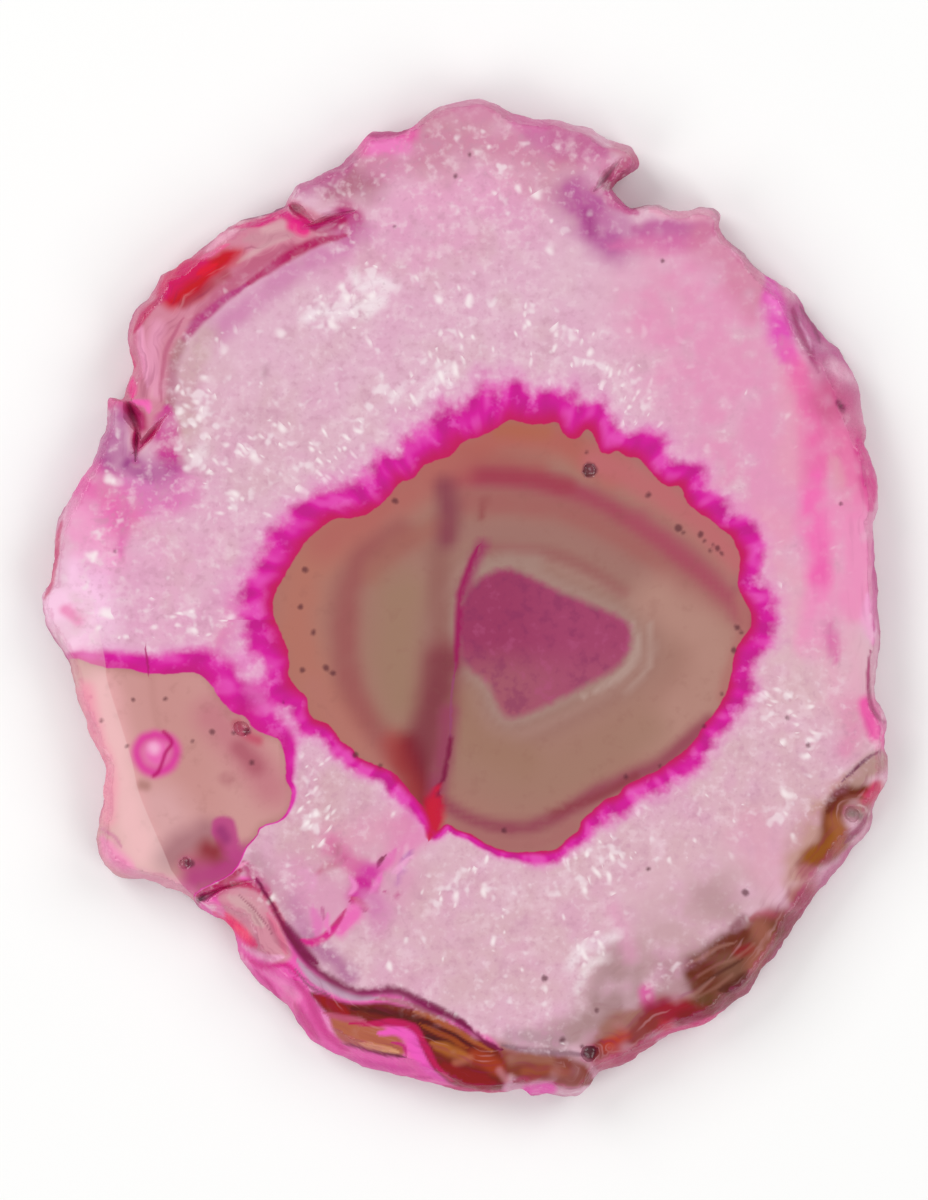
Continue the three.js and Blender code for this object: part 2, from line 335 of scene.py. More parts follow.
def buildStone(form):
    top = cadBox[1][2]
    bm = bmesh.new()
    bm.from_mesh(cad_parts["agate_slice"].data)
    bmesh.ops.remove_doubles(bm, verts=bm.verts, dist=form["weld"])
    bmesh.ops.recalc_face_normals(bm, faces=bm.faces)
    for height, up in ((top, 1), (0, -1)):
        level = set(sawnFaces(bm, height, up, form))
        seams = [e for e in bm.edges if len(e.link_faces) == 2 and all(f in level for f in e.link_faces)]
        bmesh.ops.dissolve_limit(
            bm, angle_limit=form["levelTurn"], verts=[], edges=seams, use_dissolve_boundaries=False,
        )
    level = set(sawnFaces(bm, top, 1, form) + sawnFaces(bm, 0, -1, form))
    rimEdges = [e for e in bm.edges if any(f not in level for f in e.link_faces)]
    bmesh.ops.subdivide_edges(bm, edges=rimEdges, cuts=form["rimCuts"], use_grid_fill=True)
    print("rim divided:", len(bm.faces), "faces")

    cutFiner(bm, cutIntoCells(bm, sawnFaces(bm, top, 1, form), form["frontCell"], form), form)
    cutIntoCells(bm, sawnFaces(bm, 0, -1, form), form["backCell"], form)
    print("sawn faces cut into cells:", len(bm.faces), "faces")

    roughenRim(bm, form)
    bmesh.ops.triangulate(bm, faces=bm.faces)
    bmesh.ops.recalc_face_normals(bm, faces=bm.faces)
    for face in bm.faces:
        face.smooth = True
    mesh = bpy.data.meshes.new("agateSlice")
    bm.to_mesh(mesh)
    bm.free()
    made = bpy.data.objects.new("agateSlice", mesh)
    bpy.context.scene.collection.objects.link(made)
    return made


stone = buildStone(stoneForm)
print("stone built:", len(stone.data.vertices), "corners", len(stone.data.polygons), "triangles")


# Each mark: colour, half width in mm, softness, strength and path. A softness of 0 is a hard edge. A path
# that ends where it began is a filled patch, and its half width is then how far its edge fades.

# crystal quartz, the dyed veins in it and the folded rim
quartzGround = "e2b6c9"
quartzMarks = [
    # broad tints
    ("dcb2bd", 9.0, 0.9, 0.9, [(420, 930), (560, 930), (680, 870), (770, 780), (800, 700)]),
    ("d3a7ad", 4.0, 0.9, 0.7, [(330, 800), (350, 850), (300, 840)]),
    ("dab0bc", 5.0, 0.9, 0.6, [(200, 400), (230, 440), (280, 440)]),
    ("e2a0c0", 4.5, 0.9, 0.7, [(360, 240), (430, 235), (500, 200)]),
    ("e692ba", 6.5, 0.9, 0.85, [(690, 310), (735, 400), (765, 500)]),
    ("e8a0b8", 1.6, 0.9, 0.7, [(794, 376), (796, 420), (792, 470)]),
    ("e3a9c4", 4.0, 0.9, 0.7, [(190, 530), (215, 570), (205, 625)]),
    ("e8a8c8", 3.0, 0.9, 0.6, [(140, 530), (160, 560), (150, 620)]),
    ("e9a0b8", 3.0, 0.9, 0.5, [(770, 540), (790, 600)]),
    ("e0b8c0", 4.0, 0.9, 0.6, [(790, 680), (820, 700), (830, 660)]),
    ("e09ab4", 2.4, 0.9, 0.5, [(752, 830), (770, 870)]),
    ("bf98a6", 0.35, 0.9, 0.75, [(264, 369), (266, 375)]),
    # crown
    ("d283a4", 3.4, 0.6, 0.9, [(330, 188), (380, 158), (430, 135), (480, 125), (540, 140), (600, 160)]),
    ("cb8a9e", 2.2, 0.8, 0.7, [(430, 120), (450, 150), (440, 165)]),
    ("aa6478", 1.5, 0.7, 0.75, [(334, 186), (352, 180), (372, 190)]),
    ("bc6090", 1.5, 0.6, 0.8, [(294, 192), (320, 176), (352, 158)]),
    ("ea56a8", 1.2, 0.6, 0.9, [(366, 144), (392, 140), (408, 131)]),
    ("a8306c", 0.4, 0.5, 0.85, [(368, 134), (392, 133), (409, 128)]),
    ("f284c4", 0.8, 0.7, 0.8, [(374, 148), (386, 145), (404, 148)]),
    ("c05c92", 1.6, 0.7, 0.75, [(528, 132), (560, 142), (604, 152)]),
    ("d670a8", 0.8, 0.7, 0.6, [(516, 121), (540, 125)]),
    ("cc8a9c", 2.2, 0.9, 0.6, [(515, 172), (565, 186), (590, 202)]),
    ("eaa8c8", 2.2, 0.9, 0.6, [(395, 205), (450, 196), (500, 186)]),
    # chipped shoulder
    ("b65096", 2.2, 0.9, 0.9, [(576, 200), (596, 222), (616, 240)]),
    ("a43c84", 0.6, 0.9, 0.8, [(588, 212), (594, 232)]),
    ("c03c88", 0.9, 0.6, 0.9, [(604, 188), (618, 200), (636, 212)]),
    ("74082e", 0.6, 0.5, 1.0, [(606, 184), (612, 181), (622, 172)]),
    ("aa2c58", 0.9, 0.6, 0.9, [(616, 178), (628, 167), (636, 160)]),
    ("c88296", 0.8, 0.7, 0.7, [(618, 148), (630, 152)]),
    ("c05c9a", 1.5, 0.7, 0.9, [(636, 228), (680, 231), (714, 228)]),
    ("da72a8", 1.0, 0.8, 0.7, [(612, 246), (660, 244), (704, 242)]),
    ("ecb0c4", 0.8, 0.7, 0.8, [(650, 210), (690, 214), (714, 209)]),
    ("b0929a", 0.25, 0.6, 0.8, [(640, 205), (652, 203), (672, 209), (700, 204), (716, 209), (722, 228)]),
    # upper right
    ("d4809f", 2.2, 0.9, 0.75, [(712, 238), (742, 272), (762, 296)]),
    ("a07c88", 0.3, 0.7, 0.7, [(722, 232), (742, 250), (762, 270)]),
    ("e452b6", 1.3, 0.7, 1.0, [(770, 278), (775, 304), (780, 334), (786, 360)]),
    ("f47ccc", 0.5, 0.8, 0.8, [(772, 298), (776, 310)]),
    ("ec60b4", 0.9, 0.8, 0.9, [(780, 338), (788, 352), (796, 374)]),
    ("ec68a8", 1.4, 0.9, 0.9, [(800, 374), (811, 396), (816, 440), (816, 476)]),
    ("f46cb4", 1.7, 0.8, 0.95, [(816, 476), (814, 520), (820, 560), (820, 596)]),
    ("f05cac", 0.9, 0.8, 0.8, [(826, 548), (821, 596)]),
    ("f08cbe", 1.6, 0.8, 0.95, [(820, 600), (812, 642)]),
    ("bc5a92", 1.7, 0.6, 0.9, [(802, 312), (820, 345), (838, 368)]),
    ("9c2c68", 0.45, 0.7, 0.9, [(792, 308), (799, 328), (808, 346), (818, 372)]),
    ("e8a8d0", 0.2, 0.8, 0.7, [(798, 320), (808, 336), (812, 350)]),
    ("7c3a5c", 0.3, 0.7, 0.8, [(801, 306), (812, 320), (822, 343)]),
    ("c87098", 1.5, 0.7, 0.9, [(824, 372), (838, 384), (850, 402)]),
    ("ebb4cc", 0.8, 0.7, 0.9, [(834, 366), (846, 376)]),
    ("d0608e", 1.8, 0.7, 0.95, [(828, 398), (842, 418), (852, 440)]),
    ("7c2c50", 0.3, 0.6, 0.9, [(838, 402), (844, 410)]),
    ("e876a8", 1.7, 0.8, 0.95, [(840, 438), (846, 466), (852, 500)]),
    ("e0a4b0", 0.6, 0.9, 0.6, [(834, 462), (840, 484)]),
    ("da3c8c", 1.0, 0.6, 0.97, [(860, 440), (868, 472), (871, 508)]),
    ("f08cbc", 2.2, 0.9, 0.85, [(848, 515), (857, 560), (852, 602)]),
    ("f4a8d4", 0.8, 0.8, 0.85, [(868, 596), (873, 642)]),
    ("d060a0", 0.35, 0.7, 0.8, [(874, 540), (876, 590), (874, 630)]),
    ("e6a8c0", 2.2, 0.9, 0.7, [(834, 640), (845, 690)]),
    ("da64a4", 0.8, 0.8, 0.8, [(828, 620), (836, 660)]),
    ("e08cb0", 1.5, 0.9, 0.8, [(852, 716), (850, 748)]),
    ("ee58a8", 1.0, 0.6, 0.95, [(868, 706), (876, 728), (884, 742)]),
    ("a03868", 0.25, 0.6, 0.85, [(870, 650), (869, 690), (876, 714), (888, 724)]),
    # see-through grey quartz, lower right
    ("a88486", 2.4, 0.9, 0.92, [(602, 1012), (616, 988), (626, 964)]),
    ("c69ea4", 3.2, 0.9, 0.8, [(662, 944), (694, 920), (724, 902)]),
    ("b08a8c", 1.4, 0.9, 0.5, [(708, 896), (726, 908)]),
    ("ae8488", 1.5, 0.9, 0.8, [(664, 970), (674, 988), (654, 1000)]),
    ("a88484", 1.4, 0.8, 0.85, [(556, 1036), (584, 1026), (604, 1022)]),
    ("da58a0", 0.7, 0.8, 0.9, [(645, 990), (650, 1008)]),
    ("e29cbe", 0.8, 0.9, 0.6, [(613, 908), (622, 930), (630, 956)]),
    # brown skin, lower right
    ("c29488", 1.8, 0.8, 0.9, [(846, 780), (824, 808), (812, 838), (798, 866), (792, 896)]),
    ("7c3814", 0.7, 0.0, 0.97, [
        (822, 812), (830, 795), (846, 784), (866, 783), (878, 792), (864, 800), (850, 804), (845, 820),
        (852, 832), (850, 846), (834, 860), (812, 866), (798, 864), (812, 846), (820, 832), (822, 812)]),
    ("6a280c", 0.7, 0.6, 0.95, [(828, 811), (836, 797), (852, 789), (868, 792)]),
    ("94540c", 1.0, 0.7, 0.95, [(812, 856), (827, 849), (836, 838)]),
    ("a46038", 0.8, 0.8, 0.85, [(836, 822), (842, 834), (838, 846)]),
    ("b48c84", 1.0, 0.5, 0.95, [(854, 778), (868, 767), (884, 761)]),
    ("6c2848", 0.2, 0.5, 0.95, [(842, 782), (856, 768), (866, 760), (886, 750)]),
    ("cc3c58", 0.8, 0.6, 0.95, [(866, 802), (878, 788)]),
    ("a06c66", 0.9, 0.9, 0.92, [(850, 810), (862, 810), (866, 816)]),
    ("86483c", 0.22, 0.8, 0.85, [(840, 818), (842, 805), (852, 797), (866, 799)]),
    ("8a827a", 0.35, 0.9, 0.7, [(851, 813), (860, 817)]),
    ("ecd8d8", 0.12, 0.8, 0.4, [(856, 805), (865, 808), (869, 816)]),
    ("801c44", 0.35, 0.6, 0.9, [(868, 816), (858, 832), (846, 843)]),
    ("be7494", 0.7, 0.6, 0.95, [(852, 850), (836, 872), (814, 894)]),
    ("6c4458", 0.2, 0.6, 0.85, [(862, 842), (840, 876), (818, 900)]),
    ("b0686c", 0.9, 0.8, 0.9, [(806, 872), (808, 886), (798, 898)]),
    ("984650", 1.1, 0.9, 0.9, [(806, 898), (790, 914), (772, 920)]),
    ("a02c50", 0.9, 0.8, 0.95, [(804, 910), (790, 930), (776, 946)]),
    ("bc5068", 0.7, 0.7, 0.9, [(750, 920), (768, 917), (784, 924)]),
    ("74402c", 0.95, 0.0, 0.98, [
        (682, 962), (698, 948), (716, 940), (732, 929), (752, 920), (776, 914), (796, 914), (800, 924),
        (786, 950), (768, 974), (752, 994), (732, 1010), (712, 1022), (692, 1026), (674, 1014), (688, 998),
        (684, 978), (682, 962)]),
    ("682c14", 1.0, 0.7, 0.95, [(694, 970), (708, 973), (704, 986)]),
    ("6c2e1e", 0.8, 0.7, 0.9, [(712, 952), (732, 940), (748, 932)]),
    ("8c1c1e", 0.6, 0.7, 0.9, [(738, 953), (750, 949)]),
    ("7c5040", 1.0, 0.8, 0.85, [(728, 968), (748, 974)]),
    ("56241a", 0.6, 0.6, 0.9, [(720, 990), (736, 984), (748, 972)]),
    ("64401e", 0.7, 0.7, 0.9, [(688, 1006), (708, 1001)]),
    ("9c5c4c", 1.0, 0.9, 0.9, [(760, 928), (766, 946), (756, 966)]),
    ("8a4a4e", 0.8, 0.9, 0.8, [(800, 922), (780, 956), (750, 992), (716, 1020)]),
    ("b07c70", 0.2, 0.8, 0.5, [(684, 966), (704, 956), (718, 948), (736, 942)]),
    ("a87468", 0.16, 0.9, 0.4, [(698, 977), (716, 966), (736, 958), (754, 944)]),
    ("a06c60", 0.16, 0.9, 0.4, [(688, 1001), (712, 990), (732, 975)]),
    ("4e2018", 0.18, 0.8, 0.7, [(698, 990), (720, 973), (742, 960)]),
    ("b07c72", 0.24, 0.8, 0.5, [(658, 1008), (682, 1000), (700, 990), (716, 977)]),
    ("8a505c", 0.5, 0.7, 0.8, [(734, 928), (742, 919)]),
    ("98142a", 1.4, 0.7, 0.98, [(655, 1014), (672, 1010), (690, 1018)]),
    ("d82c48", 0.6, 0.9, 0.9, [(652, 1024), (668, 1028)]),
    ("7c2424", 0.9, 0.8, 0.9, [(684, 1020), (706, 1015)]),
    ("d84480", 0.4, 0.6, 0.95, [(648, 1042), (668, 1034), (690, 1028), (714, 1019), (738, 1004)]),
    ("883430", 1.7, 0.8, 0.97, [(602, 1052), (624, 1040), (646, 1026)]),
    ("b83c26", 1.0, 0.7, 0.9, [(613, 1044), (620, 1034)]),
    ("a06c60", 1.0, 0.8, 0.9, [(598, 1036), (616, 1024), (640, 1014)]),
    ("b04a62", 0.9, 0.7, 0.95, [(600, 1066), (630, 1058), (656, 1044)]),
    # foot
    ("904630", 1.5, 0.6, 0.97, [(490, 1056), (512, 1062), (540, 1066)]),
    ("843c2c", 1.6, 0.5, 0.97, [(508, 1066), (540, 1067), (572, 1072), (588, 1080)]),
    ("a46a58", 0.5, 0.9, 0.7, [(512, 1060), (530, 1058), (550, 1061)]),
    ("a05236", 0.5, 0.9, 0.7, [(526, 1072), (548, 1070), (566, 1074)]),
    ("8a4840", 0.7, 0.7, 0.9, [(556, 1084), (578, 1080), (590, 1074)]),
    ("983a32", 0.4, 0.7, 0.85, [(514, 1082), (540, 1077)]),
    ("f054ba", 0.7, 0.5, 1.0, [(529, 1091), (551, 1090)]),
    ("86606e", 0.35, 0.8, 0.85, [(502, 1046), (530, 1050), (560, 1053), (586, 1055)]),
    # painted shade: a grey shadow above the foot
    ("ae8c94", 0.8, 0.9, 0.8, [(512, 1036), (560, 1042)]),
    # fringe of folded skin, lower left
    ("b89498", 0.9, 0.9, 0.8, [(256, 858), (274, 884), (292, 914)]),
    # painted shade: a lilac shadow above the fold's dark line
    ("ac5c90", 0.9, 0.9, 0.8, [(296, 900), (306, 930), (324, 952), (350, 976)]),
    ("f060b4", 0.4, 0.0, 1.0, [
        (196, 905), (232, 878), (262, 882), (285, 928), (310, 962), (345, 989), (390, 990), (430, 1006),
        (470, 1028), (498, 1050), (500, 1100), (440, 1100), (350, 1085), (280, 1045), (225, 965),
        (196, 905)]),
    ("dc2c8c", 0.3, 0.6, 0.95, [(244, 957), (262, 967), (286, 964), (298, 976)]),
    ("d83490", 0.45, 0.7, 0.9, [(294, 978), (308, 998), (316, 1018), (330, 1038), (348, 1052)]),
    ("c83080", 0.5, 0.8, 0.8, [(294, 1004), (304, 1022), (318, 1040)]),
    ("f684c4", 0.5, 0.7, 0.95, [(264, 972), (288, 988), (300, 1000)]),
    ("f79ad0", 0.35, 0.7, 0.9, [(308, 986), (322, 1006), (330, 1026), (344, 1042)]),
    ("d63c9c", 0.5, 0.7, 0.85, [(352, 1061), (384, 1069), (412, 1070)]),
    ("f672c0", 0.5, 0.7, 0.9, [(332, 1056), (358, 1070), (400, 1080), (430, 1084)]),
    ("cc2c88", 0.25, 0.6, 0.85, [(256, 970), (272, 990), (286, 1014), (304, 1034)]),
    ("fa8ccc", 0.35, 0.7, 0.9, [(268, 996), (280, 1012), (296, 1026)]),
    ("d43c94", 0.25, 0.6, 0.85, [(368, 1074), (400, 1078), (430, 1078)]),
    ("c49cb6", 0.5, 0.5, 1.0, [(298, 960), (312, 977), (330, 988), (352, 997), (378, 998)]),
    ("8c5a72", 0.15, 0.6, 0.8, [(296, 970), (310, 986), (332, 997)]),
    ("762612", 0.28, 0.0, 1.0, [
        (308, 990), (330, 998), (352, 1004), (384, 1003), (408, 1007), (440, 1020), (470, 1034), (500, 1052),
        (506, 1078), (498, 1094), (470, 1092), (448, 1084), (432, 1066), (420, 1046), (408, 1030),
        (390, 1024), (366, 1026), (340, 1024), (322, 1010), (308, 990)]),
    ("b06c78", 0.3, 0.6, 0.95, [(376, 999), (400, 1001), (424, 1011), (448, 1022)]),
    ("9a1018", 0.6, 0.7, 0.95, [(314, 995), (330, 1005), (348, 1014)]),
    ("561a0a", 0.45, 0.6, 0.95, [(352, 1009), (384, 1012), (410, 1020), (434, 1034), (452, 1044)]),
    ("aa582e", 0.3, 0.6, 0.95, [(414, 1012), (436, 1020), (462, 1034), (492, 1052)]),
    ("4e1206", 0.16, 0.6, 0.95, [(412, 1018), (436, 1026), (462, 1040), (480, 1050)]),
    ("9c4a1c", 0.25, 0.6, 0.9, [(420, 1025), (444, 1036), (468, 1048)]),
    ("480e04", 0.18, 0.6, 0.95, [(420, 1033), (440, 1042), (458, 1051)]),
    ("b0642e", 0.6, 0.7, 0.95, [(432, 1044), (450, 1051), (470, 1056)]),
    ("8c0c18", 1.1, 0.6, 1.0, [(446, 1067), (468, 1080), (492, 1083)]),
    ("a43c22", 0.8, 0.7, 0.95, [(476, 1057), (496, 1066)]),
    ("bc6c54", 0.35, 1.0, 0.7, [(456, 1063), (470, 1058)]),
    ("c47c84", 0.35, 1.0, 0.7, [(499, 1070), (506, 1080)]),
    ("c41c5c", 0.35, 0.6, 0.95, [(446, 1088), (476, 1095), (506, 1093)]),
    ("b4644a", 0.28, 0.0, 1.0, [
        (330, 1018), (352, 1022), (376, 1025), (392, 1032), (404, 1046), (402, 1057), (376, 1053),
        (350, 1047), (336, 1036), (330, 1018)]),
    ("d8986e", 0.35, 0.7, 0.95, [(360, 1044), (382, 1049), (398, 1053)]),
    ("c45878", 0.35, 0.7, 0.9, [(324, 1014), (346, 1019), (366, 1021)]),
    ("70103a", 0.2, 0.5, 1.0, [(340, 1043), (368, 1051), (388, 1055), (406, 1058)]),
    ("c01058", 0.4, 0.5, 1.0, [
        (350, 1024), (372, 1024), (394, 1022), (414, 1028), (424, 1044), (436, 1064), (452, 1082)]),
    ("f25cbe", 0.6, 0.5, 1.0, [
        (380, 1033), (396, 1031), (409, 1037), (416, 1051), (427, 1068), (444, 1082)]),
    ("c41c78", 0.2, 0.6, 0.95, [(390, 1043), (403, 1046), (407, 1058)]),
    ("d68ea0", 0.3, 0.0, 1.0, [
        (218, 896), (236, 886), (256, 890), (272, 908), (286, 936), (292, 956), (276, 962), (256, 952),
        (238, 934), (226, 914), (218, 896)]),
    ("d6a8ac", 0.7, 0.8, 0.95, [(230, 898), (248, 908), (262, 926)]),
    ("e07494", 0.4, 0.7, 0.95, [(268, 912), (280, 936), (287, 954)]),
    ("a86478", 0.12, 0.6, 0.85, [(240, 896), (258, 912), (272, 934)]),
    ("fa246c", 0.6, 0.6, 1.0, [(214, 914), (230, 922), (246, 938), (256, 946)]),
    ("ff5078", 0.35, 0.7, 0.9, [(236, 928), (250, 940)]),
    ("fa90c4", 0.5, 0.6, 0.95, [(204, 904), (216, 909), (224, 918)]),
    ("f7b0d4", 0.35, 0.7, 0.9, [(242, 946), (264, 958), (284, 957)]),
    ("bc0048", 0.4, 0.6, 1.0, [
        (204, 897), (222, 888), (240, 884), (258, 888), (272, 902), (286, 928), (298, 948)]),
    ("800c4c", 0.6, 0.7, 0.95, [(286, 922), (300, 946), (318, 964)]),
    ("780e48", 0.35, 0.7, 0.9, [(416, 998), (446, 1013), (472, 1030)]),
    ("b00850", 0.9, 0.7, 0.97, [(194, 897), (216, 886), (240, 870)]),
    ("660030", 0.3, 0.6, 0.95, [(195, 905), (203, 897)]),
    ("b42868", 0.7, 0.7, 0.9, [(244, 862), (256, 878), (270, 896)]),
    ("f090ba", 0.2, 0.6, 1.0, [(212, 885), (232, 870), (249, 861)]),
    # pocket of outer agate, upper left
    ("d4869c", 0.4, 0.0, 1.0, [
        (135, 455), (148, 434), (166, 410), (173, 375), (178, 350), (192, 326), (215, 306), (248, 281),
        (285, 259), (320, 241), (346, 222), (318, 214), (290, 200), (240, 205), (190, 240), (140, 270),
        (105, 330), (118, 398), (130, 430), (135, 455)]),
    ("c06080", 1.0, 0.8, 0.9, [(194, 322), (226, 290), (256, 264), (292, 246)]),
    ("d8aab0", 0.3, 0.8, 0.7, [(236, 264), (262, 246), (290, 238)]),
    ("cc909e", 0.8, 0.8, 0.85, [(244, 240), (268, 235), (292, 234)]),
    ("dca8b0", 0.5, 0.8, 0.8, [(264, 229), (282, 226)]),
    ("e69ab8", 0.7, 0.9, 0.9, [(158, 326), (152, 356), (156, 392)]),
    ("f2a4c6", 0.4, 0.8, 0.9, [(140, 322), (142, 350), (147, 386)]),
    ("be6080", 0.25, 0.7, 0.8, [(184, 318), (168, 344), (161, 376), (160, 402)]),
    ("c81028", 0.75, 0.0, 1.0, [
        (158, 292), (166, 277), (184, 264), (206, 256), (226, 250), (241, 251), (235, 264), (219, 275),
        (205, 288), (192, 301), (176, 310), (164, 302), (158, 292)]),
    ("d60a60", 1.1, 0.7, 0.95, [(166, 288), (180, 274), (198, 262)]),
    ("e41434", 0.5, 0.8, 0.8, [(198, 274), (216, 264)]),
    ("a8283c", 0.5, 0.9, 0.7, [(184, 305), (206, 289), (226, 275)]),
    ("ea6494", 0.3, 0.6, 0.95, [(200, 257), (214, 251), (228, 244)]),
    ("c42c60", 0.4, 0.6, 0.95, [(162, 296), (150, 307), (141, 319), (134, 332)]),
    ("f4b0c8", 0.4, 0.6, 0.9, [(206, 249), (224, 236), (238, 228)]),
    ("d84478", 0.35, 0.7, 0.9, [(127, 344), (129, 358), (134, 368)]),
    ("ee288e", 0.45, 0.6, 1.0, [(132, 379), (132, 398)]),
    ("da1078", 0.5, 0.6, 1.0, [(235, 226), (260, 222), (280, 214), (294, 221), (309, 226)]),
    ("ea2c86", 0.6, 0.7, 0.95, [(292, 226), (305, 231)]),
    ("50103a", 0.2, 0.6, 0.9, [(238, 219), (262, 213), (286, 206)]),
    ("d0146c", 0.35, 0.6, 1.0, [(288, 205), (302, 218), (316, 227), (328, 220), (342, 215)]),
    ("b42070", 1.0, 0.9, 0.95, [(344, 210), (354, 222), (344, 236)]),
    ("ac1c60", 0.6, 0.8, 0.85, [(312, 229), (330, 227), (344, 220)]),
    ("cc90a8", 0.25, 0.7, 0.5, [(318, 231), (336, 224)]),
    ("b01058", 0.4, 0.6, 0.95, [(339, 215), (345, 226), (341, 236)]),
    ("cc78aa", 1.2, 0.9, 0.75, [(360, 234), (322, 256), (290, 274), (262, 296), (232, 320), (212, 338)]),
    ("cdaaa8", 1.1, 0.9, 0.8, [(208, 336), (192, 366), (186, 400), (188, 430)]),
    ("b2185c", 0.55, 0.6, 1.0, [
        (346, 235), (326, 239), (305, 247), (288, 256), (271, 268), (258, 277), (245, 286)]),
    ("b63478", 0.5, 0.7, 0.97, [(246, 286), (230, 296), (215, 307), (200, 320), (188, 334), (179, 347)]),
    ("aa6e74", 0.6, 0.9, 0.85, [(180, 344), (174, 362), (172, 384), (169, 406)]),
    ("e05890", 0.7, 0.7, 0.95, [(112, 402), (124, 409)]),
    ("b8649a", 1.3, 0.8, 0.9, [(119, 418), (110, 446)]),
    ("ca2c8c", 1.4, 0.7, 0.97, [(166, 410), (165, 432), (168, 454), (178, 472)]),
    ("fa68b8", 0.4, 0.6, 1.0, [(130, 403), (146, 404), (149, 413)]),
    ("b01c5c", 0.6, 0.6, 0.97, [(130, 409), (140, 417), (141, 426)]),
    ("b40c58", 0.4, 0.6, 1.0, [(136, 430), (135, 452)]),
    ("b80c5c", 0.35, 0.6, 1.0, [(136, 453), (148, 438), (162, 420)]),
    # left side
    ("ac4c90", 1.8, 0.9, 0.9, [(112, 460), (138, 474), (166, 480)]),
    ("9c4084", 0.6, 0.8, 0.8, [(126, 466), (144, 480)]),
    ("dc88c0", 0.5, 0.8, 0.85, [(122, 480), (154, 486)]),
    ("e070b4", 1.6, 0.9, 0.85, [(120, 494), (150, 502), (184, 492)]),
    ("ea64ae", 2.0, 0.9, 0.9, [(86, 484), (102, 500), (118, 518)]),
    ("e458ac", 0.6, 0.8, 0.85, [(124, 500), (123, 530), (121, 558)]),
    ("c04890", 0.25, 0.7, 0.8, [(104, 552), (116, 549), (124, 556)]),
    ("f59cca", 2.2, 0.9, 0.8, [(78, 524), (92, 548), (104, 566)]),
    ("ffccec", 2.6, 0.9, 0.9, [(58, 606), (86, 586), (88, 640)]),
    ("ee80b8", 0.6, 0.8, 0.9, [(66, 611), (79, 621)]),
    ("cc4c74", 0.35, 0.6, 0.95, [(60, 520), (55, 556), (50, 582), (43, 598)]),
    ("e070aa", 0.8, 0.9, 0.7, [(236, 600), (226, 634), (214, 650)]),
    ("f5a4c8", 1.2, 0.9, 0.8, [(84, 664), (78, 686), (88, 700)]),
    ("ee5ca0", 0.7, 0.8, 0.9, [(93, 668), (88, 686)]),
    ("ee98cc", 1.2, 0.7, 0.95, [(249, 656), (250, 660)]),
    ("e48cc0", 0.8, 0.7, 0.95, [(265, 688), (267, 692)]),
    ("d88cb0", 0.9, 0.7, 0.9, [(276, 702), (284, 712)]),
    # painted glints: thick clusters of crystal faces flashing white
    ("f6e6ec", 0.5, 1.0, 0.95, [(305, 318), (322, 310), (338, 315), (356, 306), (382, 302)]),
    ("f6e6ec", 0.5, 1.0, 0.9, [(354, 274), (362, 288), (376, 280), (394, 288)]),
    ("f4e2e8", 0.45, 1.0, 0.85, [(384, 290), (380, 304), (364, 316)]),
    ("f4e2e8", 0.4, 1.0, 0.8, [(418, 404), (424, 388), (436, 378), (450, 370)]),
    ("f4e2e8", 0.4, 1.0, 0.8, [(396, 398), (403, 386)]),
    ("f2e0e6", 0.4, 1.0, 0.8, [(192, 456), (204, 448), (200, 464)]),
    ("f2e0e6", 0.5, 1.0, 0.8, [(570, 968), (580, 950), (598, 944), (616, 936)]),
    ("efe0e2", 0.4, 1.0, 0.8, [(576, 990), (588, 966), (604, 958)]),
    # dyed veins below the eye
    ("dc98b8", 2.8, 0.9, 0.8, [(300, 880), (330, 900), (390, 880)]),
    ("dc78ac", 1.5, 0.9, 0.85, [(438, 806), (412, 812), (398, 832)]),
    ("e49cba", 1.6, 0.9, 0.6, [(330, 838), (360, 836), (392, 826)]),
    ("d8649e", 1.0, 0.9, 0.85, [(332, 846), (342, 856), (356, 868)]),
    ("b84a7c", 0.3, 0.7, 0.8, [(336, 846), (342, 858), (338, 864)]),
    ("c8708e", 0.35, 0.7, 0.85, [(344, 862), (328, 866), (314, 874)]),
    ("e488b8", 1.0, 0.9, 0.85, [(430, 828), (412, 844), (396, 858), (382, 870)]),
    ("ba6cb0", 0.35, 0.8, 0.7, [(414, 850), (404, 862), (398, 882)]),
    ("f0a8d0", 0.3, 0.7, 0.9, [(410, 858), (400, 868), (392, 874)]),
    ("e470b4", 0.5, 0.8, 0.9, [(396, 850), (386, 864), (374, 876)]),
    ("84284c", 0.26, 0.5, 0.95, [(386, 856), (380, 862), (378, 868)]),
    ("d440a0", 1.2, 0.9, 1.0, [(370, 876), (366, 886), (360, 896)]),
    ("cc1c90", 0.5, 0.8, 0.9, [(360, 880), (368, 884), (374, 890)]),
    ("ee70c0", 0.35, 0.7, 0.95, [(382, 874), (376, 886), (370, 894)]),
    ("f08cc8", 0.3, 0.7, 0.9, [(350, 876), (356, 886), (350, 894)]),
    ("b03c8c", 0.5, 0.8, 0.85, [(372, 898), (378, 908), (372, 914)]),
    ("c4206c", 0.5, 0.6, 0.95, [(352, 898), (360, 904), (370, 910)]),
    ("a01850", 0.2, 0.5, 0.9, [(350, 902), (358, 908), (366, 912)]),
    ("ee6cb8", 0.85, 0.6, 0.97, [(354, 912), (346, 920), (340, 928)]),
    ("c42870", 0.3, 0.5, 0.95, [(344, 910), (337, 922), (330, 930), (322, 938)]),
    ("d81c88", 0.45, 0.6, 0.95, [(336, 926), (326, 936), (312, 942), (302, 940)]),
    ("e474b8", 0.6, 0.8, 0.85, [(312, 908), (318, 922), (316, 934)]),
    ("ee80c0", 0.25, 0.6, 0.9, [(328, 912), (326, 924), (330, 934)]),
    ("c05c90", 0.2, 0.7, 0.8, [(322, 906), (324, 920)]),
    ("d88ab6", 1.2, 0.9, 0.85, [(374, 902), (380, 916), (376, 930)]),
    ("c45e90", 0.22, 0.7, 0.85, [(384, 892), (396, 893), (402, 898)]),
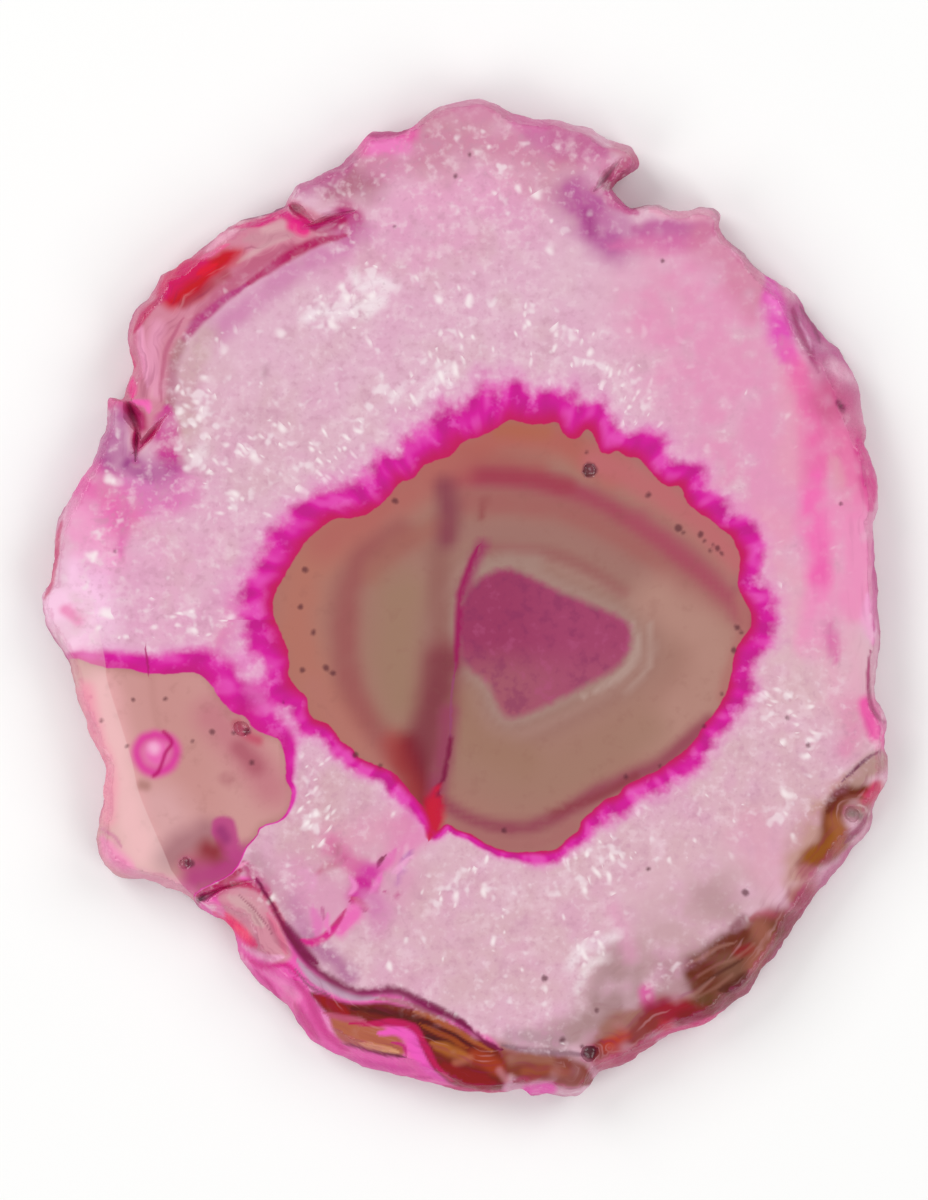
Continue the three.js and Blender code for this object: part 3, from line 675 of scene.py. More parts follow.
    ("b85a90", 0.2, 0.8, 0.8, [(376, 918), (378, 934)]),
    ("e8a0c8", 0.4, 0.7, 0.8, [(300, 868), (312, 880), (308, 892)]),
]

# banded chalcedony of the eye: share of the way from the core out to the ring, and the band's colour there
chalcedonyBands = [
    (0.0, "a58077"), (0.05, "a6837a"), (0.1, "a0786e"), (0.16, "a67e74"), (0.24, "9f746a"), (0.36, "a57a6e"),
    (0.5, "a3766a"), (0.65, "a6786c"), (0.8, "a8786c"), (0.92, "ad7a70"), (1.0, "a8706a"),
]
# in the eye and in the lobe
chalcedonyMarks = [
    # eye, from its top round to the right
    ("b4625a", 1.6, 0.9, 0.9, [(446, 464), (500, 438), (545, 438), (580, 452), (612, 472)]),
    ("b2674c", 0.8, 0.9, 0.6, [(500, 430), (545, 432)]),
    ("aa5c58", 1.2, 1.0, 0.75, [(466, 462), (500, 463), (536, 468)]),
    ("be6a6e", 1.5, 0.9, 0.95, [(598, 462), (645, 484), (690, 514), (738, 560)]),
    ("a4445a", 1.1, 0.9, 0.92, [
        (456, 478), (512, 480), (560, 489), (600, 503), (640, 526), (680, 557), (714, 590), (752, 628)]),
    ("a03a4c", 0.9, 0.9, 0.7, [(460, 474), (520, 477), (566, 485)]),
    ("aa4e62", 1.2, 0.9, 0.6, [(640, 520), (690, 560), (736, 604)]),
    ("a4605e", 1.4, 0.9, 0.85, [(468, 502), (530, 506), (580, 518), (620, 540), (660, 570), (712, 612)]),
    ("a0716a", 1.1, 0.9, 0.75, [(470, 530), (540, 532), (590, 546), (644, 578)]),
    ("99595a", 0.7, 0.9, 0.65, [(482, 548), (540, 552), (580, 564), (624, 592)]),
    ("a5847a", 0.8, 0.9, 0.8, [(476, 570), (500, 560), (534, 562)]),
    ("b5887c", 2.5, 0.9, 0.95, [(660, 600), (704, 630), (712, 656), (698, 696), (654, 736)]),
    ("b0706a", 0.7, 0.9, 0.8, [(740, 600), (746, 630), (734, 660), (724, 696)]),
    ("b4958c", 0.45, 0.8, 0.9, [(584, 698), (612, 682), (632, 662), (637, 640), (630, 622)]),
    ("b08e84", 0.35, 0.8, 0.85, [(620, 700), (644, 674), (653, 648), (648, 620)]),
    ("a37a6a", 2.6, 0.9, 0.9, [(462, 748), (520, 772), (580, 764), (640, 730)]),
    ("9f7664", 1.6, 0.9, 0.8, [(460, 700), (476, 740), (524, 762)]),
    ("964858", 0.8, 0.9, 0.95, [
        (446, 806), (480, 823), (522, 828), (556, 818), (590, 797), (624, 780), (664, 762), (708, 722)]),
    ("8c3a44", 0.4, 0.9, 0.7, [(552, 814), (600, 796), (636, 776)]),
    ("a86a68", 0.8, 0.9, 0.9, [(456, 832), (500, 843), (545, 841), (572, 826)]),
    # its left side
    ("b47264", 2.5, 0.9, 0.97, [(352, 526), (318, 554), (298, 600), (298, 640), (312, 684), (346, 728)]),
    ("b4746a", 1.3, 0.9, 0.85, [(312, 688), (344, 728), (384, 760)]),
    ("b26660", 2.0, 0.9, 0.92, [(326, 540), (372, 514), (410, 490), (452, 466)]),
    ("9b5254", 1.4, 0.9, 0.8, [
        (402, 534), (366, 556), (348, 590), (344, 630), (348, 670), (360, 704), (382, 736), (404, 762)]),
    ("a3665c", 1.2, 0.9, 0.8, [(440, 526), (398, 546), (374, 574)]),
    ("9f7a66", 2.5, 0.9, 0.92, [(402, 596), (395, 650), (406, 700)]),
    ("94605a", 1.2, 0.9, 0.8, [(438, 556), (438, 600), (442, 656)]),
    ("884050", 1.15, 1.0, 0.9, [(446, 488), (449, 512), (447, 538)]),
    ("94484c", 0.3, 0.9, 0.7, [(485, 496), (482, 518)]),
    ("9c2c60", 0.6, 1.0, 0.85, [(482, 545), (472, 570), (463, 594)]),
    ("a02864", 0.45, 1.0, 0.85, [(462, 608), (459, 640), (456, 668)]),
    # the smear beside the crack
    ("8e464e", 1.9, 1.0, 0.9, [(442, 660), (434, 715), (424, 790)]),
    ("823c46", 1.5, 0.9, 0.85, [(442, 664), (432, 710), (418, 760)]),
    ("78182e", 1.3, 0.9, 0.95, [(406, 748), (414, 772), (426, 798)]),
    ("98405e", 0.9, 0.9, 0.9, [(450, 712), (445, 752), (436, 796)]),
    ("b04640", 1.2, 1.0, 0.5, [(394, 744), (402, 766), (414, 794)]),
    ("cc0c2e", 0.8, 0.9, 1.0, [(434, 804), (432, 828)]),
    # lobe
    ("cf9794", 0.8, 0.0, 1.0, pattern["lobe"] + pattern["lobe"][:1]),
    ("b5807a", 0.4, 0.9, 0.6, [(151, 672), (154, 700), (160, 726)]),
    ("c98f8b", 3.0, 0.9, 0.9, [(170, 690), (190, 740), (190, 800)]),
    ("c47a84", 1.9, 0.9, 0.9, [(212, 716), (244, 750), (272, 790)]),
    ("ae5a6a", 0.9, 0.9, 0.8, [(240, 748), (256, 766)]),
    ("dca8aa", 2.6, 0.9, 0.8, [(160, 810), (176, 836), (150, 840)]),
    ("ecaeb2", 1.7, 0.9, 0.95, [(100, 690), (112, 740), (124, 800), (140, 850)]),
    ("f07c9e", 0.9, 0.9, 0.9, [(84, 690), (94, 735), (106, 770), (106, 816)]),
    ("f274b4", 1.0, 0.8, 1.0, [(102, 838), (114, 858), (136, 872)]),
    ("c85c8c", 0.2, 0.6, 0.9, [(100, 828), (112, 834), (122, 848)]),
    ("e08cac", 0.8, 0.9, 0.9, [(134, 876), (166, 884), (190, 892)]),
    ("a87078", 1.5, 0.9, 0.85, [(170, 858), (186, 844), (206, 834)]),
    ("b05068", 1.2, 0.9, 0.85, [(192, 866), (208, 862), (222, 862)]),
    ("b43c7c", 1.4, 0.9, 0.92, [(196, 880), (220, 872), (244, 858)]),
    ("bc4484", 0.3, 0.0, 0.92, [
        (212, 836), (213, 822), (222, 816), (232, 819), (238, 830), (242, 844), (246, 858), (234, 860),
        (222, 852), (212, 836)]),
    ("9a3470", 0.6, 0.9, 0.8, [(222, 832), (226, 838)]),
    ("92323c", 1.0, 1.0, 0.97, [(206, 850), (214, 852)]),
    ("c0345c", 0.5, 1.0, 0.7, [(238, 724), (250, 736), (258, 740)]),
    ("a8746c", 0.5, 0.9, 0.7, [(142, 785), (146, 786)]),
    ("b06a72", 0.6, 0.9, 0.6, [(225, 778), (229, 780)]),
    ("ea68b2", 1.6, 0.6, 1.0, [(156, 752), (157, 754)]),
    ("f6b0d4", 0.6, 0.9, 0.95, [(153, 748), (154, 749)]),
    ("dc3c9c", 0.5, 1.0, 0.95, [
        (156, 734), (170, 739), (177, 752), (171, 766), (156, 773), (142, 767), (136, 752), (142, 739),
        (154, 734)]),
    ("b81468", 0.2, 0.9, 0.9, [(164, 731), (172, 743), (165, 755), (159, 771), (154, 776)]),
]

# Lines: colour, half width in mm where it is widest, and path
lines = [
    ("9c1458", 0.32, [(480, 546), (472, 566), (463, 590), (461, 606), (461, 622), (459, 650), (457, 672)]),
    ("98486c", 0.13, [(457, 668), (453, 700), (452, 735)]),
    ("7c1440", 0.24, [(453, 728), (452, 745), (446, 775), (440, 794)]),
    ("c8003c", 0.66, [(440, 786), (436, 806), (437, 820), (430, 840)]),
    ("780a44", 0.4, [
        (258, 878), (274, 904), (285, 925), (298, 946), (311, 962), (326, 974), (342, 984), (358, 990),
        (376, 990), (396, 989), (411, 995), (426, 1004), (446, 1013), (461, 1020), (476, 1032), (490, 1043),
        (503, 1048)]),
    ("b0206c", 0.12, [(147, 646), (149, 660), (151, 676)]),
]

# Where painted glints make the crystals flash white: the share of them, then half width, softness, strength
# and path
glintMarks = [
    (0.08, 14.0, 0.9, 1.0, [(250, 480), (330, 400), (440, 350)]),
    (0.06, 12.0, 0.9, 1.0, [(440, 900), (560, 920), (650, 860)]),
    (1.0, 1.7, 0.8, 1.0, [(302, 311), (335, 308), (362, 296), (372, 272)]),
    (0.9, 1.8, 0.9, 1.0, [(196, 400), (196, 440), (210, 470), (232, 500)]),
    (0.7, 3.0, 0.9, 1.0, [(250, 450), (300, 430), (330, 460), (290, 480)]),
    (0.8, 2.0, 0.9, 1.0, [(396, 396), (425, 385), (448, 372)]),
    (0.4, 2.6, 0.9, 1.0, [(480, 160), (520, 200), (540, 230)]),
    (0.7, 1.8, 0.9, 1.0, [(570, 340), (600, 370), (632, 380), (640, 405)]),
    (0.35, 3.0, 0.9, 1.0, [(430, 300), (500, 320)]),
    (0.6, 2.2, 0.9, 1.0, [(440, 880), (470, 890), (500, 920)]),
    (0.6, 2.0, 0.9, 1.0, [(575, 870), (610, 850), (600, 870)]),
    (1.0, 1.2, 0.8, 1.0, [(572, 965), (592, 950), (612, 936)]),
    (0.8, 1.8, 0.9, 1.0, [(770, 690), (795, 710), (805, 735)]),
    (0.6, 1.4, 0.9, 1.0, [(785, 795), (780, 815)]),
    (0.5, 2.4, 0.9, 1.0, [(130, 620), (170, 630), (210, 610)]),
    (0.7, 1.8, 0.9, 1.0, [(300, 760), (318, 790), (310, 820)]),
    (0.4, 1.6, 0.9, 1.0, [(760, 570), (752, 650)]),
]

# The folded skin, the pocket and the brown rim, where fine layers show edge on and nothing flashes, and with
# smaller shares the quartz that is calmer than the rest, as for the flashes
foldMarks = [
    (0.65, 9.0, 0.9, 1.0, [(680, 280), (745, 370), (780, 470), (800, 580)]),
    (0.6, 5.0, 0.9, 1.0, [(600, 250), (680, 290)]),
    (0.5, 4.0, 0.9, 1.0, [(300, 250), (250, 300), (240, 350)]),
    (0.65, 3.4, 0.9, 1.0, [(420, 836), (380, 870), (340, 915)]),
    (0.65, 4.0, 0.9, 1.0, [(650, 920), (710, 890), (760, 860)]),
    (0.8, 2.4, 0.9, 1.0, [(590, 1030), (612, 1000), (626, 966)]),
    (1.0, 3.8, 0.5, 1.0, [(225, 900), (270, 945), (320, 1010), (390, 1040), (470, 1064), (590, 1080)]),
    (1.0, 2.6, 0.5, 1.0, [(340, 216), (250, 245), (190, 285), (146, 340), (140, 430), (120, 460)]),
    (1.0, 3.0, 0.6, 1.0, [(880, 770), (830, 840), (790, 910), (730, 970), (630, 1040), (580, 1070)]),
    (0.8, 2.8, 0.8, 1.0, [
        (778, 276), (806, 320), (840, 380), (858, 460), (868, 560), (868, 640), (868, 730)]),
    (0.75, 1.4, 0.8, 1.0, [(816, 380), (816, 440), (818, 560), (818, 620)]),
    (0.7, 1.8, 0.8, 1.0, [(110, 420), (80, 500), (56, 600), (86, 690)]),
    (0.6, 1.4, 0.8, 1.0, [(300, 190), (360, 150), (440, 110), (560, 125), (640, 160)]),
]


# How marks, lines and specks lie on the stone, in mm
markForm = {
    "wander": [(2.6, 1.0, (3.5, 9.5)), (0.9, 0.4, (14.5, 21.5))],  # pitch, share and seeds of how edges drift
    "mottlePitch": 1.5,
    "mottleSeed": 30.5,
    "mottleDepth": 0.9,  # a soft mark covers more and less by this share from place to place
    "calmShare": 0.2,  # of that depth, in the chalcedony
    "mottlePerWidth": 0.5,  # share of it for each mm of a mark's half width, so a narrow mark has less
    "reach": 0.6,  # a mark is worked out this far from its path, and
    "reachPerWidth": 2.2,  # this far again for each mm of its half width
    "drift": 0.18,  # its edge drifts this far, and
    "driftPerWidth": 0.25,  # this far again for each mm, but
    "mostDrift": 0.45,  # no further than this, and
    "softDrift": 0.6,  # less by this share where it is quite soft
    "softFade": 0.9,  # share of its half width by which a quite soft mark fades beyond it
    "pointedUnder": 0.85,  # softness under which a long mark ends in points
    "longFrom": 4,  # half widths in a long mark
    "markBlunt": 0.04,  # share of a mark's length where its points stop getting thinner
    "lineBlunt": 0.02,  # the same for a line
    "lineTaper": 0.4,  # power, the smaller the more sudden a line's ends
    "lineReach": 0.3,  # a line keeps its width this far out, and
    "lineReachPerWidth": 2.4,  # this far again for each mm of its half width
    "noWidth": 0.01,  # a line's half width anywhere else
    "farOff": 9.0,  # distance given where nothing is near
    "thinnestBands": 1e-6,  # between the core and the eye's edge
    "coreDrift": 0.1,
    "speckDrift": 0.14,
    "speckRim": 0.2,  # the stone this far round a speck is as rough as the speck
    "speckRoughness": 0.12,  # share of the broken rim's
    "strayGlints": 0.03,  # share of the crystals' cells that flash where no mark says more
    "flatShare": 0.97,  # of a triangle's normal that points up or down on the sawn faces
}


def paintedMarks(places, wander, mottle, tone, marks, form):
    # each mark laid over the tone in turn; it has a hex colour or a plain number
    for colour, width, softness, strength, points in marks:
        patch = len(points) > 3 and points[0] == points[-1]
        path = onStone(points[:-1] if patch else points)
        reach = form["reachPerWidth"] * width + form["reach"]
        low, high = path.min(axis=0) - reach, path.max(axis=0) + reach
        near = np.flatnonzero(np.all((places > low) & (places < high), axis=1))
        drift = min(form["drift"] + form["driftPerWidth"] * width, form["mostDrift"])
        spots = places[near] + drift * (1 - form["softDrift"] * softness) * wander[near]
        if patch:
            path = smoothLine(path, closed=True)
            edge = nearestOnLine(spots, path, closed=True)[0]
            edge = np.where(isInside(spots, path), -edge, edge)
            cover = 1 - smoothStep(-width, width, edge)
        else:
            path = smoothLine(path) if len(path) > 2 else path
            distance, along = nearestOnLine(spots, path)
            length = np.hypot(*np.diff(path, axis=0).T).sum()
            if softness < form["pointedUnder"] and length > form["longFrom"] * width:
                share = np.clip(along / (len(path) - 1), form["markBlunt"], 1 - form["markBlunt"])
                distance /= np.sqrt(np.sin(np.pi * share))
            outer = (1 + form["softFade"] * softness) * width
            cover = 1 - smoothStep((1 - softness) * width, outer, distance)
            mottled = softness * min(form["mottlePerWidth"] * width, 1) * mottle[near]
            cover = np.clip(cover * (1 + mottled), 0, 1)
        cover = (strength * cover)[:, None]
        target = np.array(hexColour(colour) if isinstance(colour, str) else colour)
        tone[near] += (target - tone[near]) * cover
    return tone


def nearestLine(places, form):
    # signed distance to the nearest line, how wide it is there, and its colour
    side = np.full(len(places), form["farOff"])
    width = np.full(len(places), form["noWidth"])
    tone = np.tile(hexColour(lines[0][0]), (len(places), 1))
    for colour, halfWidth, points in lines:
        line = smoothLine(onStone(points))
        distance, along = nearestOnLine(places, line)
        part = np.minimum(along.astype(int), len(line) - 2)
        step = line[part + 1] - line[part]
        offset = places - line[part]
        sign = np.where(step[:, 0] * offset[:, 1] - step[:, 1] * offset[:, 0] >= 0, 1, -1)
        share = np.clip(along / (len(line) - 1), form["lineBlunt"], 1 - form["lineBlunt"])
        taper = np.sin(np.pi * share) ** form["lineTaper"]
        beside = (along > 0) & (along < len(line) - 1)
        beside &= distance < form["lineReachPerWidth"] * halfWidth + form["lineReach"]
        closer = distance < np.abs(side)
        side[closer] = (distance * sign)[closer]
        width[closer] = np.where(beside, halfWidth * taper, form["noWidth"])[closer]
        tone[closer] = np.array(hexColour(colour))
    return side, width, tone


def nearestSpeck(places, form):
    # distance past the edge of the nearest speck, negative inside it
    edge = np.full(len(places), form["farOff"])
    for x, y, radius in specks:
        spot = onStone([(x, y)])[0]
        edge = np.minimum(edge, np.hypot(*(places - spot).T) - radius * traceStep)
    return edge


def eyeBands(eye, core, form):
    # the bands follow both the eye's edge and its core, so they lie at shares of the way between the two
    share = np.clip(core / np.maximum(core - eye, form["thinnestBands"]), 0, 1)
    stops, colours = zip(*chalcedonyBands)
    tones = np.array([hexColour(c) for c in colours])
    return np.column_stack([np.interp(share, stops, tones[:, i]) for i in range(3)])


def brinkDepth(mesh, places, form):
    # how far in from the brink of the sawn faces each corner lies, and which corners are on the broken rim
    normals = np.empty(len(mesh.polygons) * 3, np.float32)
    mesh.polygons.foreach_get("normal", normals)
    triangles = np.empty(len(mesh.polygons) * 3, np.int32)
    mesh.polygons.foreach_get("vertices", triangles)
    flat = np.abs(normals.reshape(-1, 3)[:, 2]) > form["flatShare"]
    onFlat, onRim = (
        np.bincount(triangles.reshape(-1, 3)[part].ravel(), minlength=len(places)) > 0
        for part in (flat, ~flat)
    )
    depth = distanceTo(places[onFlat & onRim], places)
    return np.where(onFlat, depth, 0), (onRim & ~onFlat).astype(float)


def addAttribute(mesh, name, values):
    # one number or one colour for each corner of the mesh
    values = np.asarray(values, np.float32)
    if values.ndim == 1:
        mesh.attributes.new(name, "FLOAT", "POINT").data.foreach_set("value", values)
    else:
        values = np.column_stack((values, np.ones(len(values), np.float32)))
        mesh.attributes.new(name, "FLOAT_COLOR", "POINT").data.foreach_set("color", values.ravel())


def markPattern(mesh, form):
    corners = np.empty(len(mesh.vertices) * 3, np.float32)
    mesh.vertices.foreach_get("co", corners)
    places = corners.reshape(-1, 3)[:, :2].astype(float) * mmPerMetre
    wander = sum(
        share * np.column_stack([ripple(places, pitch, seed) for seed in seeds])
        for pitch, share, seeds in form["wander"]
    )
    mottle = form["mottleDepth"] * ripple(places, form["mottlePitch"], form["mottleSeed"])

    eye, along = edgeDistance(places, pattern["eye"])
    core = edgeDistance(places + form["coreDrift"] * wander, pattern["core"])[0]
    lobe, lobeAlong = edgeDistance(places, pattern["lobe"])
    side, width, tone = nearestLine(places, form)
    depth, rough = brinkDepth(mesh, places, form)
    speck = nearestSpeck(places + form["speckDrift"] * wander, form)
    grounds = {
        "quartzTone": (mottle, np.tile(hexColour(quartzGround), (len(places), 1)), quartzMarks),
        "chalcedonyTone": (form["calmShare"] * mottle, eyeBands(eye, core, form), chalcedonyMarks),
        "glintCover": (mottle, np.full((len(places), 1), form["strayGlints"]), glintMarks),
        "folded": (mottle, np.zeros((len(places), 1)), foldMarks),
    }
    found = {
        name: paintedMarks(places, wander, mottling, ground, marks, form).squeeze()
        for name, (mottling, ground, marks) in grounds.items()
    }
    found.update({
        "eyeEdge": eye,
        "ringWidth": widthAlong(pattern["eye"], pattern["ring"], along),
        "coreEdge": core,
        "lobeEdge": lobe,
        "lobeRing": widthAlong(pattern["lobe"], pattern["lobeRing"], lobeAlong),
        "lineSide": side,
        "lineWidth": width,
        "lineTone": tone,
        "speckEdge": speck,
        "backlitVeilEdge": edgeDistance(places, pattern["backlitVeil"])[0],
        "brinkDepth": depth,
        "rough": np.where(speck < form["speckRim"], form["speckRoughness"], rough),
    })
    for name, values in found.items():
        addAttribute(mesh, name, values)
    print("pattern marked")
    return list(found)


markNames = markPattern(stone.data, markForm)


# Materials

def addNode(tree, kind, inputs, out=0, **settings):
    # makes a node with its settings and links, and hands back the output that is wanted
    made = tree.nodes.new("ShaderNode" + kind)
    for name, value in settings.items():
        setattr(made, name, value)
    for name, value in inputs.items():
        if isinstance(value, bpy.types.NodeSocket):
            tree.links.new(value, made.inputs[name])
        else:
            made.inputs[name].default_value = value
    return made.outputs[out] if made.outputs else made


def layOver(tree, found, tone, layers):
    # each layer's colour covers more of those under it as its value goes from the first number to the second;
    # a value, a cover or a colour may be the name of something that the tree already works out
    def asColour(item):
        item = found.get(item, item) if isinstance(item, str) else item
        return (*hexColour(item), 1) if isinstance(item, str) else item

    for value, start, end, cover, colour in layers:
        share = addNode(tree, "MapRange", {
            "Value": found[value], "From Min": start, "From Max": end, "To Max": found.get(cover, cover),
        }, interpolation_type="SMOOTHSTEP")
        tone = addNode(  # 6 and 7 are its two colours
            tree, "Mix", {0: share, 6: asColour(tone), 7: asColour(colour)}, out=2, data_type="RGBA")
    return tone


stoneLook = {
    "eyeMiddle": (0.0045, -0.0022),  # m, what the crystals point away from
    "fanRadius": 26.0,  # mm out, where the crystals' cells are as wide as long
    "combing": 0.45,  # how fast teeth and streaks change outwards, against across
    "layerRun": 6.25,  # mm, how long the fine layers of the folded skin are
    "layerPitch": 0.625,  # mm from one to the next
    "grains": [  # name, what it follows, pitch in mm, or in layers, and detail
        ("fine", "place", 0.8, 2.0), ("cloud", "place", 1.6, 3.0), ("wide", "place", 4.5, 3.0),
        ("speckle", "place", 0.45, 1.0), ("teeth", "combed", 3.2, 1.0), ("streak", "combed", 1.7, 0.5),
        ("layers", "layered", 1.0, 2.0),
    ],
    "grainRoughness": 0.55,
    "wispPitch": 1.25,  # mm, soft painted glints: white wisps between the crystals
    "wispDetail": 1.0,
    "wispRoughness": 0.5,
    "wispLift": 0.19,  # how much thicker they are where the crystals flash most
    "glintBendScale": 700.0,  # waves to a metre, which pull the crystals' cells out of line
    "glintBend": 0.6,  # cells
    "glints": [  # pitch in mm, length to width, size in cells, share of cells lit, brightness
        (0.75, 2.1, 0.66, 0.5, 0.6),
        (1.2, 2.0, 0.66, 0.55, 0.75),
    ],
    "glintLeast": 0.35,  # of the size, at the smallest crystal
    "glintSpread": 0.5,  # of the size, from that to the biggest
    "seams": (0.7, 1.0, 0.35),  # how folded the skin is where its layers start and are full, and their cover
    "paleSeams": 0.6,  # of that, for the pale layers
    "quartzLayers": [  # value, where the layer starts and where it is full, how much it covers, and colour
        ("wide", 0.42, 0.7, 0.3, "dc92bc"),
        ("wide", 0.5, 0.3, 0.3, "d0a6ac"),
        ("cloud", 0.47, 0.28, 0.35, "c890a8"),
        ("cloud", 0.5, 0.7, 0.36, "f0d2dc"),
        ("fine", 0.45, 0.3, 0.2, "c890a8"),
        ("fine", 0.55, 0.72, 0.2, "f2dae2"),
        ("speckle", 0.6, 0.75, 0.15, "b07c96"),
        # painted glints: soft white wisps, then the crystal faces that flash
        ("glintWisps", 0.66, 0.86, 0.7, "f4e2e8"),
        ("glints", 0.0, 1.0, 0.95, "fdf1f2"),
        ("folded", 0.0, 0.95, 1.0, "quartzTone"),
        ("layers", 0.5, 0.72, "seamCover", "8c2454"),
        ("layers", 0.44, 0.28, "paleSeamCover", "eeb8c0"),
    ],
    "dye": "d81c9c",
    "dyeLayers": [
        ("streak", 0.45, 0.68, 0.6, "b8087c"),
        ("streak", 0.52, 0.3, 0.7, "ea58bc"),
        ("cloud", 0.52, 0.72, 0.5, "ee6cc8"),
    ],
    "rings": [  # edge, width, how ragged the dye's outer edge is, and how much of the roots is dark
        ("lobeEdge", "lobeRing", 0.6, 0.3),
        ("eyeEdge", "ringWidth", 0.9, 1.0),
    ],
    "ringLayers": [  # from the raggedness on, in ring widths
        ("feather", 1.8, 0.8, 0.6, "e88cc8"),
        ("feather", 1.3, 0.62, 1.0, "dyed"),
    ],
    "rootWave": 0.6,
    "rootLayers": [("root", 0.85, 0.25, "rootCover", "c4005c")],
    "core": "9b3a60",
    "coreLayers": [
        ("up", -0.004, -0.0085, 0.85, "a55c69"),
        ("across", 0.003, 0.011, 0.6, "a8486e"),
        ("cloud", 0.5, 0.7, 0.45, "86305c"),
        ("cloud", 0.46, 0.3, 0.4, "b4547e"),
    ],
    "chalcedonyLayers": [
        ("cloud", 0.55, 0.75, 0.15, "8c5650"),
        ("coreEdge", 0.95, -0.2, 1.0, "core"),
    ],
    "looseness": {  # mm, how far the fine grain moves each traced edge
        "eyeEdge": 0.3, "lobeEdge": 0.3, "coreEdge": 0.6, "lineSide": 0.4, "speckEdge": 0.4,
    },
    "lineWave": 1.6,  # half widths, how unevenly a line is filled
    "brinkWave": 0.9,  # mm
    "rindWave": 0.3,
    "backlitVeil": (0.004, -0.008, 0.24),  # m up the slice where the painted light on the thin rim starts and is brightest, then its cover
    "faceLayers": [
        ("eyeEdge", 0.25, 0.05, 1.0, "chalcedony"),
        ("lobeEdge", 0.25, 0.05, 1.0, "chalcedony"),
        # painted light on the thin left rim
        ("backlitVeilEdge", 0.08, -0.08, "backlitVeil", "ffe4e2"),
        ("lineShare", 3.0, 0.7, 0.9, "lineTone"),
        ("brink", 0.7, 0.35, 0.25, "c43480"),
        ("rind", 0.6, 0.95, 0.7, "b44e82"),
        ("speckEdge", 0.28, -0.12, 0.74, "582834"),
    ],
    "skyShine": 0.014,  # of white, what the polish mirrors from straight above; the stone is that much deeper
    "ior": 1.54,
    "polishRoughness": 0.2,
    "rimRoughness": 0.5,
    "rimGrain": 0.5,  # mm
    "rimGrainDetail": 4.0,
    "rimGrainDepth": 0.0002,  # m
}


def fanOut(tree, place, look):
    # across goes round the eye and out goes away from its middle, both in mm
    offset = addNode(tree, "VectorMath", {0: place, 1: (*look["eyeMiddle"], 0)}, operation="SUBTRACT")
    x, y = (addNode(tree, "SeparateXYZ", {0: offset}, out=axis) for axis in (0, 1))
    turn = addNode(tree, "Math", {0: y, 1: x}, operation="ARCTAN2")
    across = addNode(tree, "Math", {0: turn, 1: look["fanRadius"]}, operation="MULTIPLY")
    level = addNode(tree, "CombineXYZ", {0: x, 1: y})
    length = addNode(tree, "VectorMath", {0: level}, out=1, operation="LENGTH")
    out = addNode(tree, "Math", {0: length, 1: mmPerMetre}, operation="MULTIPLY")
    return addNode(tree, "CombineXYZ", {0: across, 1: out})


def addGrains(tree, found, place, look):
    # noise of several pitches: as it comes, combed outwards from the eye, and in layers along the rim
    combed = addNode(
        tree, "VectorMath", {0: found["fan"], 1: (1.0, look["combing"], 1.0)}, operation="MULTIPLY")
    run = mmPerMetre / look["layerRun"]
    layer = addNode(tree, "Math", {0: found["brinkDepth"], 1: 1 / look["layerPitch"]}, operation="MULTIPLY")
    layered = addNode(tree, "VectorMath", {
        0: place, 1: (run, run, 0.0), 2: addNode(tree, "CombineXYZ", {2: layer}),
    }, operation="MULTIPLY_ADD")
    courses = {"place": (place, mmPerMetre), "combed": (combed, 1.0), "layered": (layered, 1.0)}
    for name, course, pitch, detail in look["grains"]:
        vector, scale = courses[course]
        found[name] = addNode(tree, "TexNoise", {
            "Vector": vector, "Scale": scale / pitch, "Detail": detail, "Roughness": look["grainRoughness"],
        })


def lightGlints(tree, found, place, look):
    # painted glints: crystal faces that catch the light, drawn as soft white cells longer outwards than
    # across, only some of them lit
    bent = addNode(
        tree, "TexNoise", {"Vector": place, "Scale": look["glintBendScale"], "Detail": 0.0}, out="Color")
    bent = addNode(tree, "VectorMath", {0: bent, "Scale": look["glintBend"]}, operation="SCALE")
    brightest = 0.0
    for pitch, length, size, share, bright in look["glints"]:
        cells = addNode(tree, "VectorMath", {
            0: found["fan"], 1: (1 / pitch, 1 / pitch / length, 1.0), 2: bent,
        }, operation="MULTIPLY_ADD")
        crystal = {"Vector": cells, "Scale": 1.0, "Randomness": 1.0}
        away = addNode(tree, "TexVoronoi", crystal, out="Distance", voronoi_dimensions="2D")
        pick = addNode(tree, "TexVoronoi", crystal, out="Color", voronoi_dimensions="2D")
        draw, bigness = (addNode(tree, "SeparateColor", {0: pick}, out=part) for part in (0, 1))
        chance = addNode(tree, "Math", {0: found["glintCover"], 1: share}, operation="MULTIPLY")
        lit = addNode(tree, "Math", {0: draw, 1: chance}, operation="LESS_THAN")
        reach = addNode(tree, "Math", {
            0: bigness, 1: look["glintSpread"] * size, 2: look["glintLeast"] * size,
        }, operation="MULTIPLY_ADD")
        body = addNode(tree, "MapRange", {
            "Value": away, "From Min": reach, "From Max": 0.0, "To Max": bright,
        }, interpolation_type="SMOOTHSTEP")
        body = addNode(tree, "Math", {0: body, 1: lit}, operation="MULTIPLY")
        brightest = addNode(tree, "Math", {0: brightest, 1: body}, operation="MAXIMUM")
    return brightest


def colourQuartz(tree, found, place, look):
    # clear crystal quartz: cloudy pink with painted glints, white wisps and flashes of light, and fine layers
    # where the skin is folded
    glintWisps = addNode(tree, "TexNoise", {
        "Vector": place, "Scale": mmPerMetre / look["wispPitch"], "Detail": look["wispDetail"],
        "Roughness": look["wispRoughness"],
    })
    found["glintWisps"] = addNode(
        tree, "Math", {0: found["glintCover"], 1: look["wispLift"], 2: glintWisps}, operation="MULTIPLY_ADD")
    found["glints"] = lightGlints(tree, found, place, look)
    start, end, cover = look["seams"]
    found["seamCover"] = addNode(
        tree, "MapRange", {"Value": found["folded"], "From Min": start, "From Max": end, "To Max": cover})
    found["paleSeamCover"] = addNode(
        tree, "Math", {0: found["seamCover"], 1: look["paleSeams"]}, operation="MULTIPLY")
    return layOver(tree, found, "quartzTone", look["quartzLayers"])


